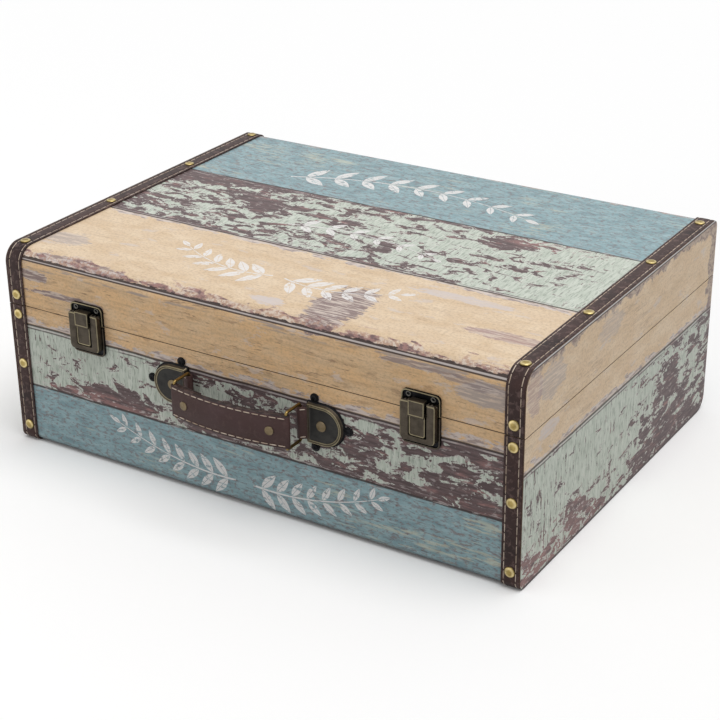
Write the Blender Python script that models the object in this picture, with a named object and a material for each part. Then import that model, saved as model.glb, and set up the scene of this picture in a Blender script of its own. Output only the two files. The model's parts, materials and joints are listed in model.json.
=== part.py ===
"""Wooden suitcase box: hinged lid, two toggle latches and a folding carrying handle.

Metres, +Z up. X runs along the length, the front with the latches faces -Y, and the
origin is on the floor, under the middle of the whole object.
"""

from math import acos, cos, pi, radians, sin

import bmesh
import bpy
from mathutils import Matrix, Vector

# Clearances and overruns
FIT_GAP = 0.0003
SEAM_GAP = 0.0006
CUT_OVERRUN = 0.004

# Case, over its printed faces
CASE_LENGTH = 0.440
CASE_WIDTH = 0.320
CASE_HEIGHT = 0.160
LID_FRONT_RADIUS = 0.013
LID_BACK_RADIUS = 0.0055
BASE_FRONT_RADIUS = 0.005
BASE_BACK_RADIUS = 0.0115
LID_DEPTH = 0.0455
BOARD_THICKNESS = 0.006
COVER_THICKNESS = 0.0008
LINING_THICKNESS = 0.0008
LINING_BELOW_RIM = 0.0010
CORNER_STEPS = 6

# Leatherette bands and their nails
BAND_WIDTH = 0.0139
BAND_THICKNESS = 0.0012
NAIL_RADIUS = 0.0044
NAIL_HEIGHT = 0.0014
NAIL_SINK = 0.0003
NAIL_ABOVE_SEAM = 0.0085
NAIL_BELOW_SEAM = 0.0075
NAIL_FROM_EDGE = 0.0125
MIDDLE_NAIL_SHARE = 0.56
LEFT_NAIL_SHARES = (0.043, 0.361, 0.686, 0.972)
RIGHT_NAIL_SHARES = (0.040, 0.334, 0.663, 0.952)
NAIL_SIDES = 10
NAIL_RINGS = 2

# Toggle latches
LATCH_FROM_END = 0.077
LATCH_WIDTH = 0.030
LATCH_CORNER = 0.004
LATCH_SHEET = 0.0012
LATCH_RIM_HEIGHT = 0.0011
LATCH_RIM_WIDTH = 0.0012
STRIKE_RISE = 0.0155
LATCH_DROP = 0.0245
STRIKE_LUG_WIDTH = 0.007
STRIKE_LUG_HEIGHT = 0.002
STRIKE_LUG_PROUD = 0.0013
STRIKE_SCREW_SPACING = 0.019
STRIKE_SCREW_RISE = 0.0119
STRIKE_SCREW_RADIUS = 0.0021
LEVER_WIDTH = 0.027
LEVER_DROP = 0.020
LEVER_FACE_PROUD = 0.0072
LEVER_RISE = 0.0093
LEVER_PIVOT_RISE = 0.0079
LEVER_PIVOT_PROUD = 0.004
LEVER_NOSE_START = radians(65)
LEVER_FOOT_CORNER = 0.0036
LEVER_TOP_CORNER = 0.0030
LEVER_BRIDGE = 0.003
LEVER_EAR_ROOT_DROP = 0.0025
LEVER_EAR_ROOT_HEIGHT = 0.0045
LEVER_EAR_RADIUS = 0.0017
LEVER_PIN_RADIUS = 0.0008
LEVER_PIN_END = 0.0004
TONGUE_WIDTH = 0.0123
TONGUE_SIDE_GAP = 0.0008
TONGUE_THICKNESS = 0.0014
TONGUE_FACE_PROUD = 0.0073
TONGUE_STEP = 0.0016
TONGUE_RISE = 0.0112
TONGUE_DROP = 0.0155
TONGUE_NIB_HEIGHT = 0.0014
TONGUE_FOOT_CORNER = 0.0018
TONGUE_TOP_CORNER = 0.0008
TONGUE_PIVOT_DROP = 0.0005
TONGUE_PIVOT_PROUD = 0.0045
TONGUE_KNUCKLE_RADIUS = 0.0022
TONGUE_STUB_RADIUS = 0.0009

# Carrying handle
HANDLE_DROP = 0.0303
RING_SPACING = 0.096
RING_PIVOT_PROUD = 0.0049
RING_LENGTH = 0.0172
RING_HEIGHT = 0.0285
RING_WIRE_RADIUS = 0.00115
RING_BEND_RADIUS = 0.0016
RING_BEND_STEPS = 2
WIRE_SIDES = 8
TAB_BEAD_RADIUS = 0.0026
TAB_HEIGHT = 0.0248
TAB_TAIL_HEIGHT = 0.019
TAB_TAIL_THICKNESS = 0.0023
TAB_TAIL_LENGTH = 0.0215
STRAP_HEIGHT = 0.025
STRAP_THICKNESS = 0.006
STRAP_BOW = 0.0055
STRAP_STEPS = 16
STRAP_RIVET_SPACING = 0.0728
STRAP_RIVET_RADIUS = 0.0034
STRAP_RIVET_HEIGHT = 0.0008
PLATE_FROM_RING = 0.003
PLATE_LENGTH = 0.0315
PLATE_RADIUS = 0.0165
PLATE_CORNER = 0.002
PLATE_FLANGE = 0.0010
PLATE_FLANGE_WIDTH = 0.0011
PLATE_PROUD = 0.0043
PLATE_TAPER = 0.0013
PLATE_DISH_DEPTH = 0.0006
PLATE_RIM_WIDTH = 0.0014
PLATE_RIVET_FROM_EDGE = 0.0135
PLATE_RIVET_RADIUS = 0.0040
PLATE_RIVET_HEIGHT = 0.0010
EAR_RADIUS = 0.0034
EAR_REACH = 0.0026
EAR_FROM_EDGE = 0.0065

# Screws and rivet shanks
SCREW_HEAD_RADIUS = 0.0024
SCREW_HEAD_HEIGHT = 0.0010
SHANK_RADIUS = 0.0011
SHANK_DEPTH = 0.0055

# Hinges on the back
HINGE_WIDTH = 0.030
LEAF_HEIGHT = 0.014
LEAF_THICKNESS = 0.0012
KNUCKLE_RADIUS = 0.0024
KNUCKLE_COUNT = 3
HINGE_PIN_RADIUS = 0.0011
HEEL_LENGTH = 0.0055
HEEL_THICKNESS = 0.0013
LID_OPEN_ANGLE = radians(100)

# Counts of sides on round pieces
ROUND_SIDES = 12
HOLE_SIDES = 10
SMOOTH_ANGLE = radians(35)

# How far pieces reach out of the case, which sets where it stands over the origin
STRAP_REACH = RING_PIVOT_PROUD + RING_LENGTH + STRAP_BOW + STRAP_THICKNESS / 2
HINGE_AXIS_PROUD = FIT_GAP + KNUCKLE_RADIUS
HEEL_INNER = FIT_GAP + LEAF_THICKNESS + FIT_GAP - HINGE_AXIS_PROUD
HINGE_REACH = (
    HINGE_AXIS_PROUD + HEEL_INNER * cos(LID_OPEN_ANGLE) + HEEL_LENGTH * sin(LID_OPEN_ANGLE)
)

# Places of the case
BAND_PROUD = FIT_GAP + BAND_THICKNESS
CASE_CENTRE_Y = (STRAP_REACH - HINGE_REACH) / 2
FRONT_Y = CASE_CENTRE_Y - CASE_WIDTH / 2
BACK_Y = CASE_CENTRE_Y + CASE_WIDTH / 2
BOTTOM_Z = BAND_PROUD
TOP_Z = BOTTOM_Z + CASE_HEIGHT
SEAM_Z = TOP_Z - LID_DEPTH
BASE_RIM_Z = SEAM_Z - SEAM_GAP / 2
LID_RIM_Z = SEAM_Z + SEAM_GAP / 2
END_FACE_X = CASE_LENGTH / 2
COVER_INNER_X = END_FACE_X - COVER_THICKNESS
BOARD_END_X = COVER_INNER_X - FIT_GAP
BOARD_INNER_X = BOARD_END_X - BOARD_THICKNESS
BOARD_SINK = COVER_THICKNESS + FIT_GAP
BOARD_INNER_DEPTH = BOARD_SINK + BOARD_THICKNESS
BAND_OUTER_X = BOARD_END_X
BAND_INNER_X = BAND_OUTER_X - BAND_WIDTH
NAIL_X = BAND_OUTER_X - BAND_WIDTH / 2
LATCH_X = CASE_LENGTH / 2 - LATCH_FROM_END

# Places of the latches, as heights over the seam and distances out of the front
PLATE_FACE = FIT_GAP + LATCH_SHEET
LEVER_NOSE_RADIUS = LEVER_PIVOT_PROUD - PLATE_FACE - FIT_GAP
WINDOW_WIDTH = TONGUE_WIDTH + 2 * TONGUE_SIDE_GAP
INNER_FLANGE_X = WINDOW_WIDTH / 2 + LATCH_SHEET
OUTER_FLANGE_X = LEVER_WIDTH / 2 - LATCH_SHEET
EAR_X = (INNER_FLANGE_X + OUTER_FLANGE_X) / 2
NIB_INNER_PROUD = PLATE_FACE + STRIKE_LUG_PROUD + FIT_GAP
LUG_TOP_RISE = TONGUE_RISE - TONGUE_NIB_HEIGHT - FIT_GAP - FIT_GAP

# Places of the handle
HANDLE_Z = SEAM_Z - HANDLE_DROP
RING_OUTER_PROUD = RING_PIVOT_PROUD + RING_LENGTH
PLATE_START_X = RING_SPACING / 2 + PLATE_FROM_RING
PLATE_ARC_X = PLATE_START_X + PLATE_LENGTH - PLATE_RADIUS

# Holes have few sides, so their corners lie outside the circle that clears what passes through
HOLE_CORNER = 1 / cos(pi / HOLE_SIDES)
SHANK_HOLE_RADIUS = (SHANK_RADIUS + FIT_GAP) * HOLE_CORNER
WIRE_HOLE_RADIUS = (RING_WIRE_RADIUS + FIT_GAP) * HOLE_CORNER
LEVER_PIN_HOLE_RADIUS = (LEVER_PIN_RADIUS + FIT_GAP) * HOLE_CORNER
TONGUE_STUB_HOLE_RADIUS = (TONGUE_STUB_RADIUS + FIT_GAP) * HOLE_CORNER
HINGE_PIN_HOLE_RADIUS = (HINGE_PIN_RADIUS + FIT_GAP) * HOLE_CORNER

# Finishes: colour, roughness, metallic
FINISHES = {
    "fibreboard": ((0.30, 0.19, 0.12), 0.8, 0.0),
    "printed_cover": ((0.62, 0.55, 0.38), 0.55, 0.0),
    "lining": ((0.16, 0.10, 0.09), 0.95, 0.0),
    "leatherette": ((0.085, 0.05, 0.045), 0.5, 0.0),
    "antique_bronze": ((0.14, 0.12, 0.08), 0.4, 0.9),
    "brass": ((0.55, 0.42, 0.17), 0.3, 1.0),
    "black_steel": ((0.03, 0.03, 0.03), 0.45, 0.8),
}


def clear_scene():
    for item in list(bpy.data.objects):
        bpy.data.objects.remove(item, do_unlink=True)


def finish_material(node_name, finish):
    """A material of the node's own, with the finish's colour, roughness and metallic value."""
    colour, roughness, metallic = FINISHES[finish]
    material = bpy.data.materials.new(node_name)
    material.use_nodes = True
    shader = material.node_tree.nodes["Principled BSDF"]
    shader.inputs["Base Color"].default_value = (*colour, 1)
    shader.inputs["Roughness"].default_value = roughness
    shader.inputs["Metallic"].default_value = metallic
    return material


def build(name, shapes, finish=None, pivot=None):
    """One object from one or more closed shapes; without a finish it is a helper for a Boolean."""
    mesh = bpy.data.meshes.new(name)
    work = bmesh.new()
    for points, faces in shapes:
        corners = [work.verts.new(point) for point in points]
        for face in faces:
            work.faces.new([corners[index] for index in face])
    bmesh.ops.recalc_face_normals(work, faces=work.faces)
    work.to_mesh(mesh)
    work.free()
    mesh.shade_smooth()
    mesh.set_sharp_from_angle(angle=SMOOTH_ANGLE)
    made = bpy.data.objects.new(name, mesh)
    bpy.context.scene.collection.objects.link(made)
    if finish is None:
        made.hide_render = True
        made.display_type = "WIRE"
    else:
        mesh.materials.append(finish_material(name, finish))
    if pivot is not None:
        made.parent = pivot
        made.matrix_parent_inverse = Matrix.Translation(pivot.location).inverted()
    return made


def combine(target, helper, operation):
    modifier = target.modifiers.new(f"{operation.lower()} {helper.name}", "BOOLEAN")
    modifier.operation = operation
    modifier.solver = "EXACT"
    modifier.object = helper
    if target.parent is not None:
        helper.parent = target.parent
        helper.matrix_parent_inverse = target.matrix_parent_inverse


def cut(target, label, *shapes):
    combine(target, build(f"{target.name}_{label}", shapes), "DIFFERENCE")


def join(target, label, *shapes):
    combine(target, build(f"{target.name}_{label}", shapes), "UNION")


def trim(target, label, shape):
    combine(target, build(f"{target.name}_{label}", [shape]), "INTERSECT")


def joint_axis(name, place):
    """An empty on a joint's axis, which carries what moves with the joint."""
    empty = bpy.data.objects.new(name, None)
    empty.location = place
    bpy.context.scene.collection.objects.link(empty)
    return empty


# Ways to place an outline: each takes the outline's two coordinates and the depth of extrusion


def along_x(y, z, x):
    return Vector((x, y, z))


def on_front(x, z, proud):
    return Vector((x, FRONT_Y - proud, z))


def on_back(x, z, proud):
    return Vector((x, BACK_Y + proud, z))


def front_profile(proud, z, x):
    return Vector((x, FRONT_Y - proud, z))


def back_profile(proud, z, x):
    return Vector((x, BACK_Y + proud, z))


def front_plan(x, proud, z):
    return Vector((x, FRONT_Y - proud, z))


def prism(outline, near, far, place):
    """A closed outline extruded from near to far."""
    count = len(outline)
    points = [place(a, b, near) for a, b in outline] + [place(a, b, far) for a, b in outline]
    faces = [tuple(range(count)), tuple(range(count, 2 * count))]
    for index in range(count):
        after = (index + 1) % count
        faces.append((index, after, after + count, index + count))
    return points, faces


def loft(lower, upper, near, far, place):
    """A prism whose two ends have different outlines of the same number of points."""
    count = len(lower)
    points = [place(a, b, near) for a, b in lower] + [place(a, b, far) for a, b in upper]
    return points, prism(lower, near, far, place)[1][: count + 2]


def swept(stations, closed=False):
    """A skin over a row of sections with the same number of points each."""
    size = len(stations[0])
    points = [point for station in stations for point in station]
    faces = []
    steps = len(stations) if closed else len(stations) - 1
    for step in range(steps):
        here = step * size
        there = ((step + 1) % len(stations)) * size
        for index in range(size):
            after = (index + 1) % size
            faces.append((here + index, here + after, there + after, there + index))
    if not closed:
        last = (len(stations) - 1) * size
        faces.append(tuple(range(size)))
        faces.append(tuple(range(last, last + size)))
    return points, faces


def turned(profile, foot, axis, sides):
    """A turned solid: profile gives (radius, height along the axis) from its foot up."""
    turn = Vector((0, 0, 1)).rotation_difference(Vector(axis)).to_matrix()
    stations = []
    for radius, height in profile:
        ring = []
        for index in range(sides):
            angle = 2 * pi * index / sides
            ring.append(foot + turn @ Vector((radius * cos(angle), radius * sin(angle), height)))
        stations.append(ring)
    return swept(stations)


def rod(foot, axis, radius, length, sides=HOLE_SIDES):
    return turned([(radius, 0), (radius, length)], foot, axis, sides)


def dome(radius, height, start, rings):
    """Profile of a domed head, from its edge nearly to its crown."""
    profile = []
    for ring in range(rings + 1):
        angle = pi / 2 * ring / (rings + 1)
        profile.append((radius * cos(angle), start + height * sin(angle)))
    crown_angle = pi / 2 * (rings + 0.5) / (rings + 1)
    profile.append((radius * cos(crown_angle), start + height))
    return profile


def arc(centre_a, centre_b, radius, start, end, steps):
    points = []
    for step in range(steps + 1):
        angle = start + (end - start) * step / steps
        points.append((centre_a + radius * cos(angle), centre_b + radius * sin(angle)))
    return points


def rectangle(a0, a1, b0, b1):
    return [(a0, b0), (a1, b0), (a1, b1), (a0, b1)]


def clipped(outline, axis, limit, keep_above):
    """The part of a convex outline on one side of a straight line."""
    kept = []
    sign = 1 if keep_above else -1
    for index, here in enumerate(outline):
        there = outline[(index + 1) % len(outline)]
        here_in = sign * (here[axis] - limit) >= 0
        there_in = sign * (there[axis] - limit) >= 0
        if here_in:
            kept.append(here)
        if here_in != there_in:
            share = (limit - here[axis]) / (there[axis] - here[axis])
            kept.append(tuple(here[i] + share * (there[i] - here[i]) for i in range(2)))
    return kept


def wall_path(is_lid, offset):
    """Points (y, z) of the case's profile, from the front rim to the back rim, offset outwards."""
    if is_lid:
        front, back, far_z, rim_z, towards = LID_FRONT_RADIUS, LID_BACK_RADIUS, TOP_Z, LID_RIM_Z, 1
    else:
        front, back, far_z, rim_z, towards = BASE_FRONT_RADIUS, BASE_BACK_RADIUS, BOTTOM_Z, BASE_RIM_Z, -1
    path = [(FRONT_Y - offset, rim_z)]
    for step in range(CORNER_STEPS + 1):
        angle = pi / 2 * step / CORNER_STEPS
        y = FRONT_Y + front - (front + offset) * cos(angle)
        path.append((y, far_z - towards * (front - (front + offset) * sin(angle))))
    for step in range(CORNER_STEPS + 1):
        angle = pi / 2 * step / CORNER_STEPS
        y = BACK_Y - back + (back + offset) * sin(angle)
        path.append((y, far_z - towards * (back - (back + offset) * cos(angle))))
    path.append((BACK_Y + offset, rim_z))
    return path


def shank_holes(places):
    """Blind holes in the front for the shanks at these (x, z) places."""
    depth = CUT_OVERRUN + SHANK_DEPTH + FIT_GAP
    holes = []
    for x, z in places:
        holes.append(rod(on_front(x, z, CUT_OVERRUN), (0, 1, 0), SHANK_HOLE_RADIUS, depth))
    return holes


def latch_sides():
    return (("left", -LATCH_X), ("right", LATCH_X))


def strike_screw_places(centre_x):
    z = SEAM_Z + STRIKE_SCREW_RISE
    half = STRIKE_SCREW_SPACING / 2
    return [(centre_x - half, z), (centre_x + half, z)]


def ear_places(side):
    """Centres (x, z) of a handle plate's three ears: top, bottom and outer."""
    edge_x = side * (PLATE_START_X + EAR_FROM_EDGE)
    reach = PLATE_RADIUS + EAR_REACH
    return [
        (edge_x, HANDLE_Z + reach),
        (edge_x, HANDLE_Z - reach),
        (side * (PLATE_ARC_X + reach), HANDLE_Z),
    ]


def plate_rivet_place(side):
    return (side * (PLATE_START_X + PLATE_RIVET_FROM_EDGE), HANDLE_Z)


def build_boards(half, is_lid, pivot):
    """Floor or top board, front and back boards, and the two end boards of one half."""
    profile = wall_path(is_lid, -BOARD_SINK)
    reach = BOARD_INNER_X - FIT_GAP
    inner_front = FRONT_Y + BOARD_INNER_DEPTH
    inner_back = BACK_Y - BOARD_INNER_DEPTH
    if is_lid:
        flat_limit = TOP_Z - BOARD_INNER_DEPTH
        wall_limit = flat_limit - FIT_GAP
    else:
        flat_limit = BOTTOM_Z + BOARD_INNER_DEPTH
        wall_limit = flat_limit + FIT_GAP
    walls = clipped(profile, 1, wall_limit, not is_lid)
    outlines = {
        "top" if is_lid else "floor": clipped(profile, 1, flat_limit, is_lid),
        "front": clipped(walls, 0, inner_front, False),
        "back": clipped(walls, 0, inner_back, True),
    }
    boards = {}
    for place, outline in outlines.items():
        shape = prism(outline, -reach, reach, along_x)
        boards[place] = build(f"{half}_{place}_board", [shape], "fibreboard", pivot)
    for place, side in (("left", -1), ("right", 1)):
        shape = prism(profile, side * BOARD_INNER_X, side * BOARD_END_X, along_x)
        boards[place] = build(f"{half}_{place}_board", [shape], "fibreboard", pivot)
    return boards


def build_covers(half, is_lid, pivot):
    """The printed sheet round one half, and one on each end that covers the band's edge too."""
    outer = wall_path(is_lid, 0)
    inner = wall_path(is_lid, -COVER_THICKNESS)
    stations = []
    for (outer_y, outer_z), (inner_y, inner_z) in zip(outer, inner):
        stations.append(
            [
                Vector((-BOARD_END_X, outer_y, outer_z)),
                Vector((BOARD_END_X, outer_y, outer_z)),
                Vector((BOARD_END_X, inner_y, inner_z)),
                Vector((-BOARD_END_X, inner_y, inner_z)),
            ]
        )
    wrap = build(f"{half}_cover_wrap", [swept(stations)], "printed_cover", pivot)
    outline = wall_path(is_lid, BAND_PROUD - FIT_GAP)
    for place, side in (("left", -1), ("right", 1)):
        shape = prism(outline, side * COVER_INNER_X, side * END_FACE_X, along_x)
        build(f"{half}_{place}_end_cover", [shape], "printed_cover", pivot)
    return wrap


def build_lining(half, is_lid, pivot):
    """A thin open tray of lining inside one half."""
    outer_x = BOARD_INNER_X - FIT_GAP
    sink = BOARD_INNER_DEPTH + FIT_GAP
    front, back = FRONT_Y + sink, BACK_Y - sink
    if is_lid:
        closed_z, open_z, towards = TOP_Z - sink, LID_RIM_Z + LINING_BELOW_RIM, -1
    else:
        closed_z, open_z, towards = BOTTOM_Z + sink, BASE_RIM_Z - LINING_BELOW_RIM, 1
    wall = LINING_THICKNESS
    outer = rectangle(-outer_x, outer_x, front, back)
    inner = rectangle(-outer_x + wall, outer_x - wall, front + wall, back - wall)
    rings = [
        [Vector((x, y, closed_z)) for x, y in outer],
        [Vector((x, y, open_z)) for x, y in outer],
        [Vector((x, y, open_z)) for x, y in inner],
        [Vector((x, y, closed_z + towards * wall)) for x, y in inner],
    ]
    build(f"{half}_lining", [swept(rings)], "lining", pivot)


def nail_shape(place, outward):
    profile = [(NAIL_RADIUS, -NAIL_SINK)] + dome(NAIL_RADIUS, NAIL_HEIGHT, 0, NAIL_RINGS)
    return turned(profile, place, outward, NAIL_SIDES)


def band_nails(is_lid, x, top_shares):
    """Domed nail heads on one band: on its front and back, and along the top of a lid band."""
    if is_lid:
        heights = [SEAM_Z + NAIL_ABOVE_SEAM]
    else:
        low = BOTTOM_Z + NAIL_FROM_EDGE
        high = SEAM_Z - NAIL_BELOW_SEAM
        heights = [high, low + (high - low) * MIDDLE_NAIL_SHARE, low]
    nails = []
    for z in heights:
        nails.append(nail_shape(Vector((x, FRONT_Y - BAND_PROUD, z)), (0, -1, 0)))
        nails.append(nail_shape(Vector((x, BACK_Y + BAND_PROUD, z)), (0, 1, 0)))
    if is_lid:
        for share in top_shares:
            place = Vector((x, FRONT_Y + CASE_WIDTH * share, TOP_Z + BAND_PROUD))
            nails.append(nail_shape(place, (0, 0, 1)))
    return nails


def build_bands(half, is_lid, pivot):
    """A leatherette band round each end of one half, flush with the end board."""
    section = [
        (BAND_INNER_X, BAND_PROUD),
        (BAND_OUTER_X, BAND_PROUD),
        (BAND_OUTER_X, FIT_GAP),
        (BAND_INNER_X, FIT_GAP),
    ]
    sides = (("left", -1, LEFT_NAIL_SHARES), ("right", 1, RIGHT_NAIL_SHARES))
    for place, side, top_shares in sides:
        edges = []
        for x, offset in section:
            path = wall_path(is_lid, offset)
            edges.append([Vector((side * x, y, z)) for y, z in path])
        stations = [list(station) for station in zip(*edges)]
        band = build(f"{half}_{place}_band", [swept(stations)], "leatherette", pivot)
        join(band, "nails", *band_nails(is_lid, side * NAIL_X, top_shares))


def screw_shape(place, outward, head_radius):
    """A screw, placed by the underside of its head."""
    profile = [(SHANK_RADIUS, -SHANK_DEPTH), (SHANK_RADIUS, 0), (head_radius, 0)]
    profile += dome(head_radius, SCREW_HEAD_HEIGHT, SCREW_HEAD_HEIGHT / 4, 2)
    return turned(profile, place, outward, ROUND_SIDES)


def top_corners(centre_x, half, high, radius):
    top = high - radius
    corners = arc(centre_x + half - radius, top, radius, 0, pi / 2, 3)
    return corners + arc(centre_x - half + radius, top, radius, pi / 2, pi, 3)


def foot_corners(centre_x, half, low, radius):
    bottom = low + radius
    corners = arc(centre_x - half + radius, bottom, radius, pi, 1.5 * pi, 3)
    return corners + arc(centre_x + half - radius, bottom, radius, 1.5 * pi, 2 * pi, 3)


def plate_outline(centre_x, low, high, inset, round_top):
    """A plate with two rounded corners at its far end and a straight edge at the seam."""
    half = LATCH_WIDTH / 2 - inset
    radius = LATCH_CORNER - inset
    if round_top:
        straight = [(centre_x - half, low), (centre_x + half, low)]
        return straight + top_corners(centre_x, half, high - inset, radius)
    straight = [(centre_x + half, high), (centre_x - half, high)]
    return foot_corners(centre_x, half, low + inset, radius) + straight


def build_strike_plate(name, centre_x, pivot):
    """The latch's plate on the lid, with a raised rim and the lug that the tongue reaches over."""
    low, high = SEAM_Z + SEAM_GAP, SEAM_Z + STRIKE_RISE
    rim_proud = PLATE_FACE + LATCH_RIM_HEIGHT
    outline = plate_outline(centre_x, low, high, 0, True)
    plate = build(name, [prism(outline, FIT_GAP, rim_proud, on_front)], "antique_bronze", pivot)
    pocket = plate_outline(centre_x, low - CUT_OVERRUN, high, LATCH_RIM_WIDTH, True)
    cut(plate, "pocket", prism(pocket, PLATE_FACE, rim_proud + CUT_OVERRUN, on_front))
    half = STRIKE_LUG_WIDTH / 2
    lug_top = SEAM_Z + LUG_TOP_RISE
    lug = rectangle(centre_x - half, centre_x + half, lug_top - STRIKE_LUG_HEIGHT, lug_top)
    lug_shape = prism(lug, PLATE_FACE - FIT_GAP, PLATE_FACE + STRIKE_LUG_PROUD, on_front)
    join(plate, "lug", lug_shape)
    cut(plate, "screw_holes", *shank_holes(strike_screw_places(centre_x)))


def ear_outline():
    """Side view of an ear of the base plate, from its root to the round end at the pin."""
    low = SEAM_Z - LEVER_EAR_ROOT_DROP - LEVER_EAR_ROOT_HEIGHT
    high = SEAM_Z - LEVER_EAR_ROOT_DROP
    root = PLATE_FACE - LATCH_SHEET / 2
    inner, outer = LEVER_PIVOT_PROUD - LEVER_EAR_RADIUS, LEVER_PIVOT_PROUD + LEVER_EAR_RADIUS
    round_end = arc(LEVER_PIVOT_PROUD, SEAM_Z + LEVER_PIVOT_RISE, LEVER_EAR_RADIUS, 0, pi, 6)
    return [(root, high), (root, low), (outer, high)] + round_end + [(inner, high)]


def build_base_plate(name, centre_x):
    """The latch's plate on the base, with two ears that carry the lever's pin."""
    low, high = SEAM_Z - LATCH_DROP, SEAM_Z - SEAM_GAP
    rim_proud = PLATE_FACE + LATCH_RIM_HEIGHT
    outline = plate_outline(centre_x, low, high, 0, False)
    plate = build(name, [prism(outline, FIT_GAP, rim_proud, on_front)], "antique_bronze")
    pocket = plate_outline(centre_x, low, high + CUT_OVERRUN, LATCH_RIM_WIDTH, False)
    cut(plate, "pocket", prism(pocket, PLATE_FACE, rim_proud + CUT_OVERRUN, on_front))
    ears = []
    for side in (-1, 1):
        middle = centre_x + side * EAR_X
        ends = (middle - LATCH_SHEET / 2, middle + LATCH_SHEET / 2)
        ears.append(prism(ear_outline(), *ends, front_profile))
    join(plate, "ears", *ears)
    cut(plate, "pin_hole", lever_pin_hole(centre_x))


def cross_rod(centre_x, proud, z, radius, half):
    """A rod across the front, as far to each side of the centre as half."""
    return rod(front_profile(proud, z, centre_x - half), (1, 0, 0), radius, 2 * half)


def lever_pin_hole(centre_x):
    """A cutter for the holes of the lever's pin, right across the latch."""
    z = SEAM_Z + LEVER_PIVOT_RISE
    return cross_rod(centre_x, LEVER_PIVOT_PROUD, z, LEVER_PIN_HOLE_RADIUS, LEVER_WIDTH)


def build_lever(name, centre_x, pivot):
    """The lever: a sheet cover with folded flanges, pinned near its top, open in the middle."""
    pin_z = SEAM_Z + LEVER_PIVOT_RISE
    low = SEAM_Z - LEVER_DROP
    back = LEVER_PIVOT_PROUD - LEVER_NOSE_RADIUS
    nose = arc(LEVER_PIVOT_PROUD, pin_z, LEVER_NOSE_RADIUS, LEVER_NOSE_START, pi, 6)
    side_view = [(back, low), (LEVER_FACE_PROUD, low), (LEVER_FACE_PROUD, SEAM_Z + LEVER_RISE)]
    side_view += nose
    half = LEVER_WIDTH / 2
    shape = prism(side_view, centre_x - half, centre_x + half, front_profile)
    lever = build(name, [shape], "antique_bronze", pivot)
    front_view = foot_corners(centre_x, half, low, LEVER_FOOT_CORNER)
    front_view += top_corners(centre_x, half, pin_z + LEVER_NOSE_RADIUS, LEVER_TOP_CORNER)
    through = (back - CUT_OVERRUN, LEVER_FACE_PROUD + CUT_OVERRUN)
    trim(lever, "front_view", prism(front_view, *through, on_front))
    under_face = LEVER_FACE_PROUD - LATCH_SHEET
    over_top = pin_z + LEVER_NOSE_RADIUS + CUT_OVERRUN
    hollow_depths = (back - CUT_OVERRUN, under_face)
    floor_z = low + LATCH_SHEET
    for label, side in (("left_hollow", -1), ("right_hollow", 1)):
        ends = sorted((centre_x + side * INNER_FLANGE_X, centre_x + side * OUTER_FLANGE_X))
        hollow = rectangle(*ends, floor_z, over_top)
        cut(lever, label, prism(hollow, *hollow_depths, on_front))
    window_z = low + LEVER_BRIDGE
    window = rectangle(centre_x - WINDOW_WIDTH / 2, centre_x + WINDOW_WIDTH / 2, window_z, over_top)
    cut(lever, "window", prism(window, *through, on_front))
    inner = INNER_FLANGE_X + FIT_GAP
    bridge = rectangle(centre_x - inner, centre_x + inner, floor_z, window_z + FIT_GAP)
    cut(lever, "bridge_hollow", prism(bridge, *hollow_depths, on_front))
    cut(lever, "pin_hole", lever_pin_hole(centre_x))
    stub_z = SEAM_Z - TONGUE_PIVOT_DROP
    stub_hole = cross_rod(centre_x, TONGUE_PIVOT_PROUD, stub_z, TONGUE_STUB_HOLE_RADIUS, inner)
    cut(lever, "stub_hole", stub_hole)


def build_tongue(name, centre_x, pivot):
    """The tongue: a stepped strip with a nib at its top, which turns on two stub axles."""
    step_z = SEAM_Z
    top_z, bottom_z = SEAM_Z + TONGUE_RISE, SEAM_Z - TONGUE_DROP
    nib_z = top_z - TONGUE_NIB_HEIGHT
    lower_back = TONGUE_FACE_PROUD - TONGUE_THICKNESS
    upper_face = TONGUE_FACE_PROUD + TONGUE_STEP
    upper_back = upper_face - TONGUE_THICKNESS
    pivot_z = SEAM_Z - TONGUE_PIVOT_DROP
    meet = acos((lower_back - TONGUE_PIVOT_PROUD) / TONGUE_KNUCKLE_RADIUS)
    knuckle = arc(TONGUE_PIVOT_PROUD, pivot_z, TONGUE_KNUCKLE_RADIUS, meet, 2 * pi - meet, 10)
    side_view = [
        (lower_back, bottom_z),
        (TONGUE_FACE_PROUD, bottom_z),
        (TONGUE_FACE_PROUD, step_z),
        (upper_face, step_z),
        (upper_face, top_z),
        (NIB_INNER_PROUD, top_z),
        (NIB_INNER_PROUD, nib_z),
        (upper_back, nib_z),
        (upper_back, pivot_z + TONGUE_KNUCKLE_RADIUS),
    ]
    side_view += knuckle
    half = TONGUE_WIDTH / 2
    shape = prism(side_view, centre_x - half, centre_x + half, front_profile)
    tongue = build(name, [shape], "antique_bronze", pivot)
    front_view = foot_corners(centre_x, half, bottom_z, TONGUE_FOOT_CORNER)
    front_view += top_corners(centre_x, half, top_z, TONGUE_TOP_CORNER)
    trim(tongue, "front_view", prism(front_view, FIT_GAP, upper_face + CUT_OVERRUN, on_front))
    reach = INNER_FLANGE_X + FIT_GAP
    stubs = cross_rod(centre_x, TONGUE_PIVOT_PROUD, pivot_z, TONGUE_STUB_RADIUS, reach)
    join(tongue, "stubs", stubs)


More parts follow.
